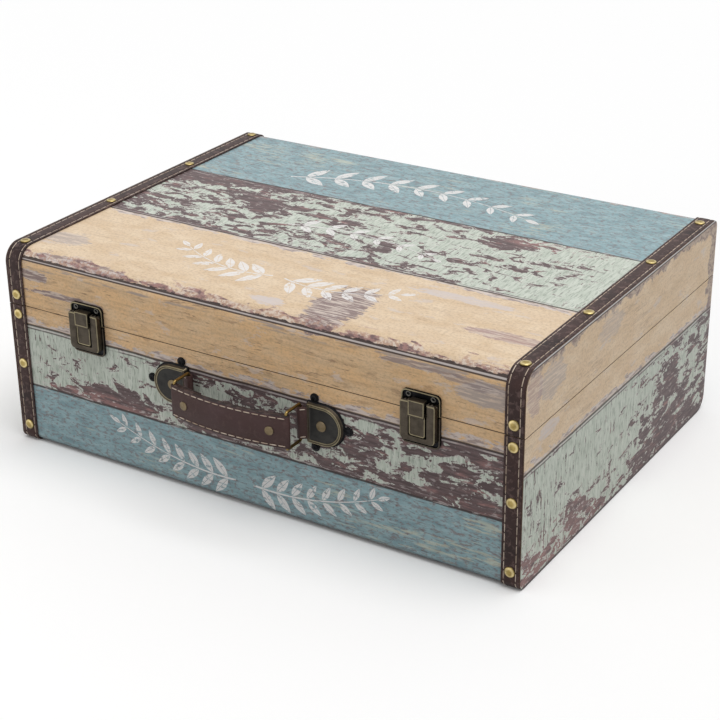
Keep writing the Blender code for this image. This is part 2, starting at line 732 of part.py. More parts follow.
def build_latch(place, centre_x, lid_pivot):
    name = f"{place}_latch"
    build_strike_plate(f"{name}_strike_plate", centre_x, lid_pivot)
    build_base_plate(f"{name}_base_plate", centre_x)
    lever_axis = front_profile(LEVER_PIVOT_PROUD, SEAM_Z + LEVER_PIVOT_RISE, centre_x)
    lever_pivot = joint_axis(f"{name}_lever_axis", lever_axis)
    build_lever(f"{name}_lever", centre_x, lever_pivot)
    tongue_axis = front_profile(TONGUE_PIVOT_PROUD, SEAM_Z - TONGUE_PIVOT_DROP, centre_x)
    build_tongue(f"{name}_tongue", centre_x, joint_axis(f"{name}_tongue_axis", tongue_axis))
    pin_half = LEVER_WIDTH / 2 + LEVER_PIN_END
    pin_z = SEAM_Z + LEVER_PIVOT_RISE
    pin = cross_rod(centre_x, LEVER_PIVOT_PROUD, pin_z, LEVER_PIN_RADIUS, pin_half)
    build(f"{name}_lever_pin", [pin], "antique_bronze")
    for number, (x, z) in enumerate(strike_screw_places(centre_x), start=1):
        head = on_front(x, z, PLATE_FACE + FIT_GAP)
        screw = screw_shape(head, (0, -1, 0), STRIKE_SCREW_RADIUS)
        build(f"{name}_screw_{number}", [screw], "antique_bronze", lid_pivot)


def plate_d_outline(side, inset):
    """A D: straight towards the middle of the case, round away from it."""
    radius = PLATE_RADIUS - inset
    corner = PLATE_CORNER
    start = PLATE_START_X + inset + corner
    top, bottom = HANDLE_Z + radius - corner, HANDLE_Z - radius + corner
    points = arc(PLATE_ARC_X, HANDLE_Z, radius, -pi / 2, pi / 2, 10)
    points += arc(start, top, corner, pi / 2, pi, 2)
    points += arc(start, bottom, corner, pi, 1.5 * pi, 2)
    return [(side * x, z) for x, z in points]


def build_handle_plate(name, side):
    """A D-shaped pressed plate over the tab's tail, with three ears for its screws."""
    flange = prism(plate_d_outline(side, 0), FIT_GAP, FIT_GAP + PLATE_FLANGE, on_front)
    plate = build(name, [flange], "antique_bronze")
    for number, (x, z) in enumerate(ear_places(side), start=1):
        ear = arc(x, z, EAR_RADIUS, 0, 2 * pi * (ROUND_SIDES - 1) / ROUND_SIDES, ROUND_SIDES - 1)
        join(plate, f"ear_{number}", prism(ear, FIT_GAP, FIT_GAP + PLATE_FLANGE, on_front))
    raised = loft(
        plate_d_outline(side, PLATE_FLANGE_WIDTH),
        plate_d_outline(side, PLATE_FLANGE_WIDTH + PLATE_TAPER),
        FIT_GAP + PLATE_FLANGE / 2,
        PLATE_PROUD,
        on_front,
    )
    join(plate, "raised", raised)
    dish = plate_d_outline(side, PLATE_FLANGE_WIDTH + PLATE_TAPER + PLATE_RIM_WIDTH)
    dish_depths = (PLATE_PROUD - PLATE_DISH_DEPTH, PLATE_PROUD + CUT_OVERRUN)
    cut(plate, "dish", prism(dish, *dish_depths, on_front))
    half = TAB_TAIL_HEIGHT / 2 + FIT_GAP
    tail_end = RING_SPACING / 2 + TAB_TAIL_LENGTH + FIT_GAP
    ends = sorted((side * (PLATE_START_X - CUT_OVERRUN), side * tail_end))
    pocket = rectangle(*ends, HANDLE_Z - half, HANDLE_Z + half)
    pocket_depths = (FIT_GAP - CUT_OVERRUN, TAB_TAIL_THICKNESS + 2 * FIT_GAP)
    cut(plate, "pocket", prism(pocket, *pocket_depths, on_front))
    x, z = plate_rivet_place(side)
    through = PLATE_PROUD + CUT_OVERRUN
    holes = [rod(on_front(x, z, through), (0, 1, 0), SHANK_HOLE_RADIUS, 2 * through)]
    cut(plate, "holes", *holes, *shank_holes(ear_places(side)))


def build_handle_tab(name, side):
    """A leather tab: a bead round the ring's wire, and a tail under the plate."""
    bead_x = side * RING_SPACING / 2
    half = TAB_HEIGHT / 2
    bead = arc(bead_x, RING_PIVOT_PROUD, TAB_BEAD_RADIUS, 0, 2 * pi * 11 / 12, 11)
    tab = build(name, [prism(bead, HANDLE_Z - half, HANDLE_Z + half, front_plan)], "leatherette")
    tail_top = FIT_GAP + TAB_TAIL_THICKNESS
    root = RING_PIVOT_PROUD - TAB_BEAD_RADIUS / 2
    tail = [
        (bead_x, FIT_GAP),
        (bead_x + side * TAB_TAIL_LENGTH, FIT_GAP),
        (bead_x + side * TAB_TAIL_LENGTH, tail_top),
        (bead_x + side * (PLATE_FROM_RING - FIT_GAP), tail_top),
        (bead_x, root),
    ]
    tail_half = TAB_TAIL_HEIGHT / 2
    ends = (HANDLE_Z - tail_half, HANDLE_Z + tail_half)
    join(tab, "tail", prism(tail, *ends, front_plan))
    foot = front_plan(bead_x, RING_PIVOT_PROUD, HANDLE_Z - TAB_HEIGHT)
    cut(tab, "wire_hole", rod(foot, (0, 0, 1), WIRE_HOLE_RADIUS, 2 * TAB_HEIGHT))
    x, z = plate_rivet_place(side)
    through = PLATE_PROUD + CUT_OVERRUN
    cut(tab, "rivet_hole", rod(on_front(x, z, through), (0, 1, 0), SHANK_HOLE_RADIUS, 2 * through))


def build_ring(name, side, pivot):
    """A rectangular wire ring, standing straight out of the front."""
    low, high = HANDLE_Z - RING_HEIGHT / 2, HANDLE_Z + RING_HEIGHT / 2
    near, far = RING_PIVOT_PROUD, RING_OUTER_PROUD
    bend = RING_BEND_RADIUS
    corners = [
        (far - bend, high - bend, 0),
        (near + bend, high - bend, pi / 2),
        (near + bend, low + bend, pi),
        (far - bend, low + bend, 1.5 * pi),
    ]
    stations = []
    for centre_proud, centre_z, start in corners:
        for step in range(RING_BEND_STEPS + 1):
            angle = start + pi / 2 * step / RING_BEND_STEPS
            section = []
            for index in range(WIRE_SIDES):
                turn = 2 * pi * index / WIRE_SIDES
                reach = bend + RING_WIRE_RADIUS * cos(turn)
                proud = centre_proud + reach * cos(angle)
                z = centre_z + reach * sin(angle)
                x = side * RING_SPACING / 2 + RING_WIRE_RADIUS * sin(turn)
                section.append(front_plan(x, proud, z))
            stations.append(section)
    build(name, [swept(stations, closed=True)], "brass", pivot)


def strap_centre(x):
    """How far the middle of the strap's thickness stands out of the front at x."""
    share = x / (RING_SPACING / 2)
    return RING_OUTER_PROUD + STRAP_BOW * (1 - share**2)


def build_strap(pivot):
    """The strap: bowed outwards, with a loop round the outer wire of each ring."""
    half_span = RING_SPACING / 2
    half = STRAP_THICKNESS / 2
    xs = [half_span * (2 * step / STRAP_STEPS - 1) for step in range(STRAP_STEPS + 1)]
    outer = [(x, strap_centre(x) + half) for x in xs]
    inner = [(x, strap_centre(x) - half) for x in reversed(xs)]
    right_end = arc(half_span, RING_OUTER_PROUD, half, pi / 2, -pi / 2, 6)[1:-1]
    left_end = arc(-half_span, RING_OUTER_PROUD, half, 1.5 * pi, pi / 2, 6)[1:-1]
    outline = outer + right_end + inner + left_end
    ends = (HANDLE_Z - STRAP_HEIGHT / 2, HANDLE_Z + STRAP_HEIGHT / 2)
    strap = build("handle_strap", [prism(outline, *ends, front_plan)], "leatherette", pivot)
    wire_holes = []
    rivet_holes = []
    for place, side in (("left", -1), ("right", 1)):
        foot = front_plan(side * half_span, RING_OUTER_PROUD, HANDLE_Z - STRAP_HEIGHT)
        wire_holes.append(rod(foot, (0, 0, 1), WIRE_HOLE_RADIUS, 2 * STRAP_HEIGHT))
        x = side * STRAP_RIVET_SPACING / 2
        slope = -2 * STRAP_BOW * x / half_span**2
        outward = Vector((-slope, -1, 0)).normalized()
        middle = front_plan(x, strap_centre(x), HANDLE_Z)
        hole_foot = middle - outward * STRAP_THICKNESS
        hole = rod(hole_foot, outward, SHANK_HOLE_RADIUS, 2 * STRAP_THICKNESS)
        rivet_holes.append(hole)
        under_head = half + FIT_GAP
        profile = [
            (STRAP_RIVET_RADIUS, -under_head - STRAP_RIVET_HEIGHT),
            (STRAP_RIVET_RADIUS, -under_head),
            (SHANK_RADIUS, -under_head),
            (SHANK_RADIUS, under_head),
            (STRAP_RIVET_RADIUS, under_head),
        ]
        profile += dome(STRAP_RIVET_RADIUS, STRAP_RIVET_HEIGHT, under_head + FIT_GAP, 1)
        rivet = turned(profile, middle, outward, ROUND_SIDES)
        build(f"handle_strap_{place}_rivet", [rivet], "brass", pivot)
    cut(strap, "wire_holes", *wire_holes)
    cut(strap, "rivet_holes", *rivet_holes)


def build_handle():
    left_ring_axis = front_plan(-RING_SPACING / 2, RING_PIVOT_PROUD, HANDLE_Z)
    strap_axis = front_plan(-RING_SPACING / 2, RING_OUTER_PROUD, HANDLE_Z)
    right_ring_axis = front_plan(RING_SPACING / 2, RING_PIVOT_PROUD, HANDLE_Z)
    pivots = {
        "left": joint_axis("handle_left_ring_axis", left_ring_axis),
        "right": joint_axis("handle_right_ring_axis", right_ring_axis),
    }
    for place, side in (("left", -1), ("right", 1)):
        build_handle_plate(f"handle_{place}_plate", side)
        build_handle_tab(f"handle_{place}_tab", side)
        build_ring(f"handle_{place}_ring", side, pivots[place])
        x, z = plate_rivet_place(side)
        face = PLATE_PROUD - PLATE_DISH_DEPTH + FIT_GAP
        profile = [(SHANK_RADIUS, -face - SHANK_DEPTH), (SHANK_RADIUS, 0), (PLATE_RIVET_RADIUS, 0)]
        profile += dome(PLATE_RIVET_RADIUS, PLATE_RIVET_HEIGHT, PLATE_RIVET_HEIGHT / 4, 2)
        rivet = turned(profile, on_front(x, z, face), (0, -1, 0), ROUND_SIDES)
        build(f"handle_{place}_plate_rivet", [rivet], "brass")
        for number, (ear_x, ear_z) in enumerate(ear_places(side), start=1):
            head = on_front(ear_x, ear_z, 2 * FIT_GAP + PLATE_FLANGE)
            screw = screw_shape(head, (0, -1, 0), SCREW_HEAD_RADIUS)
            build(f"handle_{place}_screw_{number}", [screw], "black_steel")
    build_strap(joint_axis("handle_strap_axis", strap_axis))


def knuckle_outline(towards):
    """Side view of a knuckle with the strip of leaf below it, or above it where towards is 1."""
    near, far = FIT_GAP, FIT_GAP + LEAF_THICKNESS
    root = SEAM_Z + towards * (KNUCKLE_RADIUS + LEAF_THICKNESS)
    meet = acos((far - HINGE_AXIS_PROUD) / KNUCKLE_RADIUS)
    round_part = arc(HINGE_AXIS_PROUD, SEAM_Z, KNUCKLE_RADIUS, towards * meet, -towards * pi, 10)
    return [(near, root), (far, root)] + round_part


def heel_outline():
    """The stop on the lid's leaf: it lies flat on the base's leaf when the lid is fully open."""
    inner, outer = HEEL_INNER, HEEL_INNER + HEEL_THICKNESS
    opened = [(inner, 0), (inner, -HEEL_LENGTH), (outer, -HEEL_LENGTH), (outer, 0)]
    turn_cos, turn_sin = cos(LID_OPEN_ANGLE), sin(LID_OPEN_ANGLE)
    closed = []
    for proud, rise in opened:
        closed.append(
            (
                HINGE_AXIS_PROUD + proud * turn_cos - rise * turn_sin,
                SEAM_Z + proud * turn_sin + rise * turn_cos,
            )
        )
    return closed


def build_leaf(name, left, towards, pivot):
    """A hinge leaf: towards is 1 for the lid's, with the middle knuckle, and -1 for the base's."""
    near, far = KNUCKLE_RADIUS + FIT_GAP, LEAF_HEIGHT
    edges = sorted((SEAM_Z + towards * near, SEAM_Z + towards * far))
    outline = rectangle(left, left + HINGE_WIDTH, *edges)
    flat = prism(outline, FIT_GAP, FIT_GAP + LEAF_THICKNESS, on_back)
    leaf = build(name, [flat], "antique_bronze", pivot)
    pitch = HINGE_WIDTH / KNUCKLE_COUNT
    first = 1 if towards == 1 else 0
    for index in range(first, KNUCKLE_COUNT, 2):
        start = left + pitch * index + FIT_GAP / 2
        ends = (start, start + pitch - FIT_GAP)
        knuckle = prism(knuckle_outline(towards), *ends, back_profile)
        join(leaf, f"knuckle_{index + 1}", knuckle)
        if towards == 1:
            join(leaf, f"heel_{index + 1}", prism(heel_outline(), *ends, back_profile))
    foot = back_profile(HINGE_AXIS_PROUD, SEAM_Z, left - CUT_OVERRUN)
    length = HINGE_WIDTH + 2 * CUT_OVERRUN
    cut(leaf, "pin_hole", rod(foot, (1, 0, 0), HINGE_PIN_HOLE_RADIUS, length))


def build_hinge(place, centre_x, lid_pivot):
    """A butt hinge on the back: outer knuckles on the base's leaf, the middle one on the lid's."""
    name = f"{place}_hinge"
    left = centre_x - HINGE_WIDTH / 2
    build_leaf(f"{name}_base_leaf", left, -1, None)
    build_leaf(f"{name}_lid_leaf", left, 1, lid_pivot)
    foot = back_profile(HINGE_AXIS_PROUD, SEAM_Z, left)
    pin = rod(foot, (1, 0, 0), HINGE_PIN_RADIUS, HINGE_WIDTH, ROUND_SIDES)
    build(f"{name}_pin", [pin], "antique_bronze")


def build_case(lid_pivot):
    for half, is_lid, pivot in (("base", False, None), ("lid", True, lid_pivot)):
        boards = build_boards(half, is_lid, pivot)
        wrap = build_covers(half, is_lid, pivot)
        build_lining(half, is_lid, pivot)
        build_bands(half, is_lid, pivot)
        if is_lid:
            places = [place for _, x in latch_sides() for place in strike_screw_places(x)]
        else:
            places = [place for side in (-1, 1) for place in ear_places(side)]
            places += [plate_rivet_place(side) for side in (-1, 1)]
        for target in (boards["front"], wrap):
            cut(target, "screw_holes", *shank_holes(places))


def main():
    clear_scene()
    lid_pivot = joint_axis("lid_axis", back_profile(HINGE_AXIS_PROUD, SEAM_Z, 0))
    build_case(lid_pivot)
    for place, centre_x in latch_sides():
        build_latch(place, centre_x, lid_pivot)
        build_hinge(place, centre_x, lid_pivot)
    build_handle()


main()
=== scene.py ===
"""Looks of the wooden suitcase box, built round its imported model.

X runs along the length of the case, its front faces -Y and +Z is up. Lengths are in millimetres,
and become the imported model's metres where a mesh or a node takes them.
"""

import json
from functools import reduce
from math import atan2, cos, hypot, pi, radians, sin
from operator import mul

import bmesh
import bpy
from mathutils import Matrix, Vector


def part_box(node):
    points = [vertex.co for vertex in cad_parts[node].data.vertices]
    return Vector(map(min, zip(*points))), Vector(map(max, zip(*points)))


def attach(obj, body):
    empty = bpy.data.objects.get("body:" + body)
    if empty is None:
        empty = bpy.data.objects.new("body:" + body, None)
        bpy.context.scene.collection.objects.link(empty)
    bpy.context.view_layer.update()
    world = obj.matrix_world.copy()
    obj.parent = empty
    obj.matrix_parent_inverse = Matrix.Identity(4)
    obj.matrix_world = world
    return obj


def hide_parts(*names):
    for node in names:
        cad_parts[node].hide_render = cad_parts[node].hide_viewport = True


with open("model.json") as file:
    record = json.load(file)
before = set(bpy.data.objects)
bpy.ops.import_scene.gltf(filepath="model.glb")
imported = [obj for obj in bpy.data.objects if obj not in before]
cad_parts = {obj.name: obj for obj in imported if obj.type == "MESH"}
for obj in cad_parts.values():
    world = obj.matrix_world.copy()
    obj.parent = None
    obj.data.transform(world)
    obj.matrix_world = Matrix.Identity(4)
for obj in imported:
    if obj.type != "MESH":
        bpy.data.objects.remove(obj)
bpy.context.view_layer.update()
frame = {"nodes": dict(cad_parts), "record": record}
BODY_OF = {
    node: body
    for body, nodes in frame["record"]["behaviour"]["bodies"].items()
    for node in nodes
}
MM = 0.001


def box(node):
    """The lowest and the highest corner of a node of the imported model."""
    return [Vector(corner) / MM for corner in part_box(node)]


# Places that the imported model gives
BASE_LOW, BASE_HIGH = box("base_cover_wrap")
LID_LOW, LID_HIGH = box("lid_cover_wrap")
END_LOW, END_HIGH = box("base_right_end_cover")
BAND_LOW, BAND_HIGH = box("base_right_band")
STRAP_LOW, STRAP_HIGH = box("handle_strap")
RING_LOW, RING_HIGH = box("handle_right_ring")
PLATE_LOW, PLATE_HIGH = box("handle_right_plate")
TAB_LOW, TAB_HIGH = box("handle_right_tab")
LEVER_LOW, LEVER_HIGH = box("right_latch_lever")
STRIKE_LOW, STRIKE_HIGH = box("right_latch_strike_plate")
CATCH_LOW = box("right_latch_base_plate")[0]
FRONT_Y, BACK_Y = BASE_LOW.y, BASE_HIGH.y
BOTTOM_Z, TOP_Z = BASE_LOW.z, LID_HIGH.z
SEAM_Z = (BASE_HIGH.z + LID_LOW.z) / 2
MIDDLE_Y = (FRONT_Y + BACK_Y) / 2
HANDLE_Z = (STRAP_LOW.z + STRAP_HIGH.z) / 2
LATCH_X = (LEVER_LOW.x + LEVER_HIGH.x) / 2
RING_X = (RING_LOW.x + RING_HIGH.x) / 2
BAND_PROUD = BOTTOM_Z - BAND_LOW.z
END_PROUD = FRONT_Y - END_LOW.y
HALVES = (("base", False), ("lid", True))
SIDES = (("left", -1), ("right", 1))
FORWARDS, BACKWARDS, UPWARDS = (0, -1, 0), (0, 1, 0), (0, 0, 1)

# Case and covering, with the radii of its corners at the back and at the front
LID_RADII = (5.5, 13)
BASE_RADII = (11.5, 5)
CORNER_STEPS = 14
COVER_THICKNESS = 0.8
FIT_GAP = 0.3
PRINT_FILM = 0.05
PRINT_GAP = 0.02
WEAVE_PITCH = 1.1

# Boundaries of the printed planks, as heights and as a share of the top's width
GROOVE_BELOW_TOP = 7.0
CREAM_FOOT_Z = 101
MINT_FOOT_Z = 50
END_CREAM_FOOT_Z = 89
TOP_PLANK_SHARE = 1 / 3

# Bands
BAND_CORNER = 0.35
BAND_ROUND = 0.7
BAND_END_EASE = ((0.0, 0.5), (0.4, 0.8), (1.1, 0.96), (2.2, 1.0))
STITCH_ROWS = (2.1, 11.3)
STITCH_CHANNEL = 0.55
STITCH_CHANNEL_DEPTH = 0.3
STITCH_PITCH = 7.2
STITCH_LENGTH = 6.7
STITCH_RADIUS = 0.42
STITCH_BLUNTNESS = 0.4
NAIL_RADIUS = 4.15
NAIL_HEIGHT = 1.4
NAIL_SINK_SHARE = 0.3
NAIL_RISES = (8.5, -7.5)
NAIL_FROM_EDGE = 12.5
MIDDLE_NAIL_SHARE = 0.56
TOP_NAIL_SHARES = {-1: (0.043, 0.361, 0.686, 0.972), 1: (0.040, 0.334, 0.663, 0.952)}

# Latches, where an axle is how proud it is and its height, and a section has insets and drops
LATCH_CORNER = 4.0
LATCH_SHEET = 1.2
LATCH_RIM = 1.2
LATCH_RIM_SINK = 0.6
LATCH_RIM_RISE = 1.1
LATCH_EAR_X = 10.2
LATCH_EAR_RADIUS = 1.7
LUG_HALF_WIDTH = 3.5
LUG_HEIGHTS = (SEAM_Z + 7.2, SEAM_Z + 9.2)
LUG_PROUD = 1.3
LEVER_WIDTH = 27
LEVER_WINDOW = 13.9
LEVER_WINDOW_FOOT = SEAM_Z - 16.2
LEVER_FACE = 7.2
LEVER_AXLE = (4.0, SEAM_Z + 7.9)
LEVER_NOSE = 2.2
LEVER_CORNERS = (3.6, 3.0, 1.0)
LEVER_SECTION = ((0.0, 0.7), (0.1, 0.35), (0.32, 0.1), (0.7, 0.0))
TONGUE_WIDTH = 12.3
TONGUE_FACE = 7.3
TONGUE_STEP = 1.6
TONGUE_THICKNESS = 1.4
TONGUE_AXLE = (4.5, SEAM_Z - 0.5)
TONGUE_SECTION = ((0, 1.4), (0, 0.3), (0.1, 0.08), (0.3, 0), (0.55, 0), (0.85, 0.12), (1.0, 0.35))
STRIKE_SCREW_SPACING = 19
STRIKE_SCREW_RISE = 11.9
EYELET = ((2.1, -0.3), (2.1, 0.5), (1.95, 0.75), (1.6, 0.85), (1.25, 0.75), (0.95, 0.5), (0.9, 0.1))

# Handle
RING_WIRE = 1.15
RING_BEND = 1.6
RING_PROUD = FRONT_Y - RING_LOW.y - RING_WIRE
PLATE_RADIUS = 16.5
PLATE_CORNER = 2.0
PLATE_FLANGE = 1.0
EAR_RADIUS = 3.4
EAR_REACH = 2.6
EAR_FROM_EDGE = 6.5
PLATE_ARC_X = PLATE_HIGH.x - EAR_REACH - EAR_RADIUS - PLATE_RADIUS
PLATE_TOP = FRONT_Y - PLATE_LOW.y
PLATE_FOOT = ((0.0, 0.3), (0.0, 0.95), (0.2, 1.2), (0.8, 1.3), (1.05, 1.6))
PLATE_DISH = (
    (1.55, 0.5), (1.7, 0.15), (2.0, 0.0), (2.3, 0.06), (2.55, 0.32), (3.1, 0.36),
    (3.3, 0.16), (3.6, 0.14), (3.85, 0.35), (4.2, 0.6), (4.9, 0.66),
)
PLATE_RIVET_FROM_EDGE = 13.5
PLATE_RIVET = (
    (1.1, -5), (1.1, 0), (4.0, 0), (4.0, 0.35), (3.85, 0.6), (3.5, 0.72), (3.0, 0.68), (0.6, 0.82),
)
STRAP_BOW = 5.5
STRAP_HALF = 2.6
STRAP_EASE = 0.5
STRAP_FOLD_LENGTH = 25
STRAP_STITCHES = 14
STRAP_STITCH_LENGTH = 5.4
STRAP_STITCH_RADIUS = 0.4
STRAP_STITCH_BLUNTNESS = 0.5
STRAP_STITCH_INSET = 1.9
STRAP_STITCH_FROM_RING = 2.2
STRAP_RIVET_X = 36.4
STRAP_RIVET_BACK = ((3.4, -0.7), (3.4, -0.1), (1.1, 0))
STRAP_RIVET_HEAD = ((1.1, 0), (3.4, 0), (3.4, 0.3), (3.25, 0.6), (2.9, 0.75), (0.5, 0.95))
TAB_FACE = ((1.2, 7.25), (2.3, 6.6), (3.5, 5.6), (4.6, 4.95), (5.2, 4.75))
TAB_UNDER = ((5.2, 3.6), (4.6, 3.75), (3.4, 4.3), (2.2, 5.3), (1.2, 5.9))

# Screws: radius and height of a head, and where each of a hinge leaf's three is
BLACK_HEAD = (2.4, 1.0)
BRONZE_HEAD = (2.3, 0.8)
HINGE_SCREWS = ((-10, 9.4), (0, 11.0), (10, 9.4))

# Angle under which a bend is shaded as round
SMOOTH = radians(38)

# Colours, as six hexadecimal digits
CREAM_LIGHT, CREAM, CREAM_DEEP = "E9D3B6", "E1C9AB", "D5B893"
CREAM_FRONT, CREAM_GRAIN = "E6BE8E", "A0866A"
SCORCH, RUST, STAIN = "7A5B48", "A8775A", "806B69"
WORN_PALE, WORN_GREY, BRICK = "D3C9C6", "A2958F", "9C7672"
MAROON, MAROON_DARK = "695757", "453738"
MINT_LIGHT, MINT, MINT_DEEP = "D2D7CC", "BDC5B8", "97A093"
TEAL_LIGHT, TEAL, TEAL_DEEP, TEAL_SCRATCH = "A1BBC0", "8EABB1", "6C8992", "D5D2B9"
PRINT_WHITE, PAPER_DARK, LINE_DARK = "EDEAE8", "4A3B36", "2E2220"
LEATHER, LEATHER_DARK, LEATHER_WORN = "44302D", "2A1E1D", "77625E"
STRAP_BROWN, STRAP_EDGE = "4C3838", "2F2A2B"
THREAD, THREAD_DARK = "DCCCBC", "A08974"
# The brightest brass tone is a painted highlight for the nails' crowns
BRASS, BRASS_DARK, BRASS_HIGHLIGHT, BRASS_RING = "A8935A", "4E4226", "EBD9A6", "8C7648"
# The worn bronze tone is partly wear and partly a painted highlight on rims and edges
BRONZE, BRONZE_DARK, BRONZE_WORN_HIGHLIGHT = "4F483F", "2E2A24", "837A62"
BLACKENED, BLACKENED_DARK, BLACKENED_WORN = "232325", "151517", "6A6862"
DISH_GREY, RIVET_BRASS = "3A3937", "7D6F59"
FIBREBOARD, FIBREBOARD_DARK = "8A6A4A", "5E452F"
LINING, LINING_LIGHT = "6B5247", "8F7565"

# Light levels, as shares of the level at which a colour renders as it is written
ROOM_LIGHT = 0.5
OVERHEAD_LIGHT = 0.52
OVERHEAD_TILT = radians(17)
FRONT_LIGHT = 1.6
FRONT_LIGHT_PLACE = Vector((-0.85, -0.95, 0.35))
FRONT_LIGHT_AIM = Vector((-0.15, -0.1, 0.06))

# The floor's reach from its middle, in metres
FLOOR_REACH = 4

# The photograph's view, in metres and in pixels of a square frame
CAMERA_AZIMUTH = radians(32.238)
CAMERA_ELEVATION = radians(25.266)
CAMERA_DISTANCE = 1.37796
CAMERA_TARGET = Vector((0.000567, 0.000278, 0.0592))
CAMERA_ROLL = radians(-0.7131)
FOCAL_PIXELS = 1761.66
FRAME_PIXELS = 720


# Lengths along the print


def corner_radius(is_lid, at_front):
    return (LID_RADII if is_lid else BASE_RADII)[at_front]


def bent_length(inwards, rise, height, radius):
    """Length up a wall and round its corner to a place so far inwards and so far up."""
    flat = height - radius
    if rise <= flat:
        return rise
    if inwards >= radius:
        return flat + radius * pi / 2 + inwards - radius
    return flat + radius * atan2(rise - flat, radius - inwards)


LID_HEIGHT = TOP_Z - SEAM_Z
LID_RUN = sum(
    bent_length(MIDDLE_Y - FRONT_Y, LID_HEIGHT, LID_HEIGHT, radius) for radius in LID_RADII
)


def print_run(y, z):
    """Length along the print from the seam in front: up the lid, over the top and down the back.

    It is negative below the front's seam, and goes on growing below the back's.
    """
    above, at_front = z > SEAM_Z, y < MIDDLE_Y
    height = LID_HEIGHT if above else SEAM_Z - BOTTOM_Z
    inwards = y - FRONT_Y if at_front else BACK_Y - y
    length = bent_length(inwards, abs(z - SEAM_Z), height, corner_radius(above, at_front))
    if at_front:
        return length if above else -length
    return LID_RUN - length if above else LID_RUN + length


TOP_PLANK = (BACK_Y - FRONT_Y) * TOP_PLANK_SHARE
GROOVE_TURN = 1 - GROOVE_BELOW_TOP / LID_RADII[1]
GROOVE_Y = FRONT_Y + LID_RADII[1] * (1 - (1 - GROOVE_TURN**2) ** 0.5)
GROOVE_RUN = print_run(GROOVE_Y, TOP_Z - GROOVE_BELOW_TOP)
CREAM_FOOT_RUN = print_run(FRONT_Y, CREAM_FOOT_Z)
MINT_FOOT_RUN = print_run(FRONT_Y, MINT_FOOT_Z)

# Joints between planks: their run, kind, the way to their worn side and the paint beyond them
JOINTS = (
    (MINT_FOOT_RUN, "teal", 1.0, "mint"),
    (CREAM_FOOT_RUN, "cream", 1.0, "cream"),
    (GROOVE_RUN, "groove", 1.0, "cream"),
    (print_run(FRONT_Y + TOP_PLANK, TOP_Z), "cream", -1.0, "mint"),
    (print_run(BACK_Y - TOP_PLANK, TOP_Z), "teal", -1.0, "teal"),
    (LID_RUN - GROOVE_RUN, "groove", -1.0, "cream"),
    (LID_RUN - CREAM_FOOT_RUN, "cream", -1.0, "mint"),
    (LID_RUN - MINT_FOOT_RUN, "teal", -1.0, "teal"),
)
JOINT_WEAR = {"teal": 13, "cream": 5, "groove": 1}

# Oval places of the print: x and a height on the front or a y on the top, or y and z on an end,
# with their reach both ways, and how much more of their kind of wear they have
FLAKED_PLACES = (
    ("front", -118, 60, 42, 13, 1.6),
    ("front", 89, 78, 28, 16, 0.9),
    ("front", 187, 92, 12, 9, 0.8),
    ("top", 103, 45, 34, 15, 1.7),
    ("top", -94, 23, 46, 20, 0.9),
    ("top", -184, 62, 46, 22, 1.0),
    ("top", 165, 24, 40, 20, 0.6),
)
FLECKED_PLACE = ("front", -185, 75, 60, 60)
PINK_PLACES = (("front", -160, 52, 80, 9), ("top", 148, 56, 60, 13))
STREAKED_PLACES = (
    ("front", 158, 17, 75, 8),
    ("front", 188, 41, 28, 6),
    ("top", -152, 144, 84, 9),
    ("top", -187, 74, 30, 6),
)
WORN_PLACES = (
    ("top", -190, -112, 30, 15, WORN_GREY, 0.6),
    ("top", 9, -133, 20, 9, WORN_PALE, 0.8),
    ("front", 192, 140, 34, 13, WORN_GREY, 0.75),
    ("front", 184, 146, 36, 6, STAIN, 0.6),
    ("front", 142, 149, 46, 4, STAIN, 0.7),
    ("top", 186, -104, 50, 10, BRICK, 0.7),
    ("top", 128, -62, 60, 8, WORN_PALE, 0.7),
    ("front", -165, 131, 56, 4, STAIN, 0.9),
    ("front", -196, 143, 22, 7, STAIN, 0.9),
    ("top", 58, -116, 30, 52, STAIN, 0.95),
    ("top", -150, -147, 60, 7, STAIN, 0.8),
)
END_FLAKED_PLACES = (("end", -68, 24, 20, 18, 1.2), ("end", 87, 56, 26, 22, 0.7))
END_WORN_PLACES = (
    ("end", -111, 143, 30, 18, WORN_GREY, 0.5),
    ("end", -138, 145, 16, 26, BRICK, 0.5),
    ("end", -115, 109, 22, 8, WORN_PALE, 0.6),
    ("end", -20, 146, 30, 14, WORN_GREY, 0.35),
)


# Materials, built up node by node


def linear(code):
    """A colour written as six hexadecimal digits, as the shaders need it."""
    channels = [int(code[index : index + 2], 16) / 255 for index in (0, 2, 4)]
    bent = [c / 12.92 if c <= 0.04045 else ((c + 0.055) / 1.055) ** 2.4 for c in channels]
    return (*bent, 1.0)


class Level:
    """An output of a node, with the arithmetic of plain numbers."""

    def __init__(self, graph, socket):
        self.graph = graph
        self.socket = socket

    def __add__(self, other):
        return self.graph.math("ADD", self, other)

    def __sub__(self, other):
        return self.graph.math("SUBTRACT", self, other)

    def __rsub__(self, other):
        return self.graph.math("SUBTRACT", other, self)

    def __mul__(self, other):
        return self.graph.math("MULTIPLY", self, other)

    __radd__ = __add__
    __rmul__ = __mul__


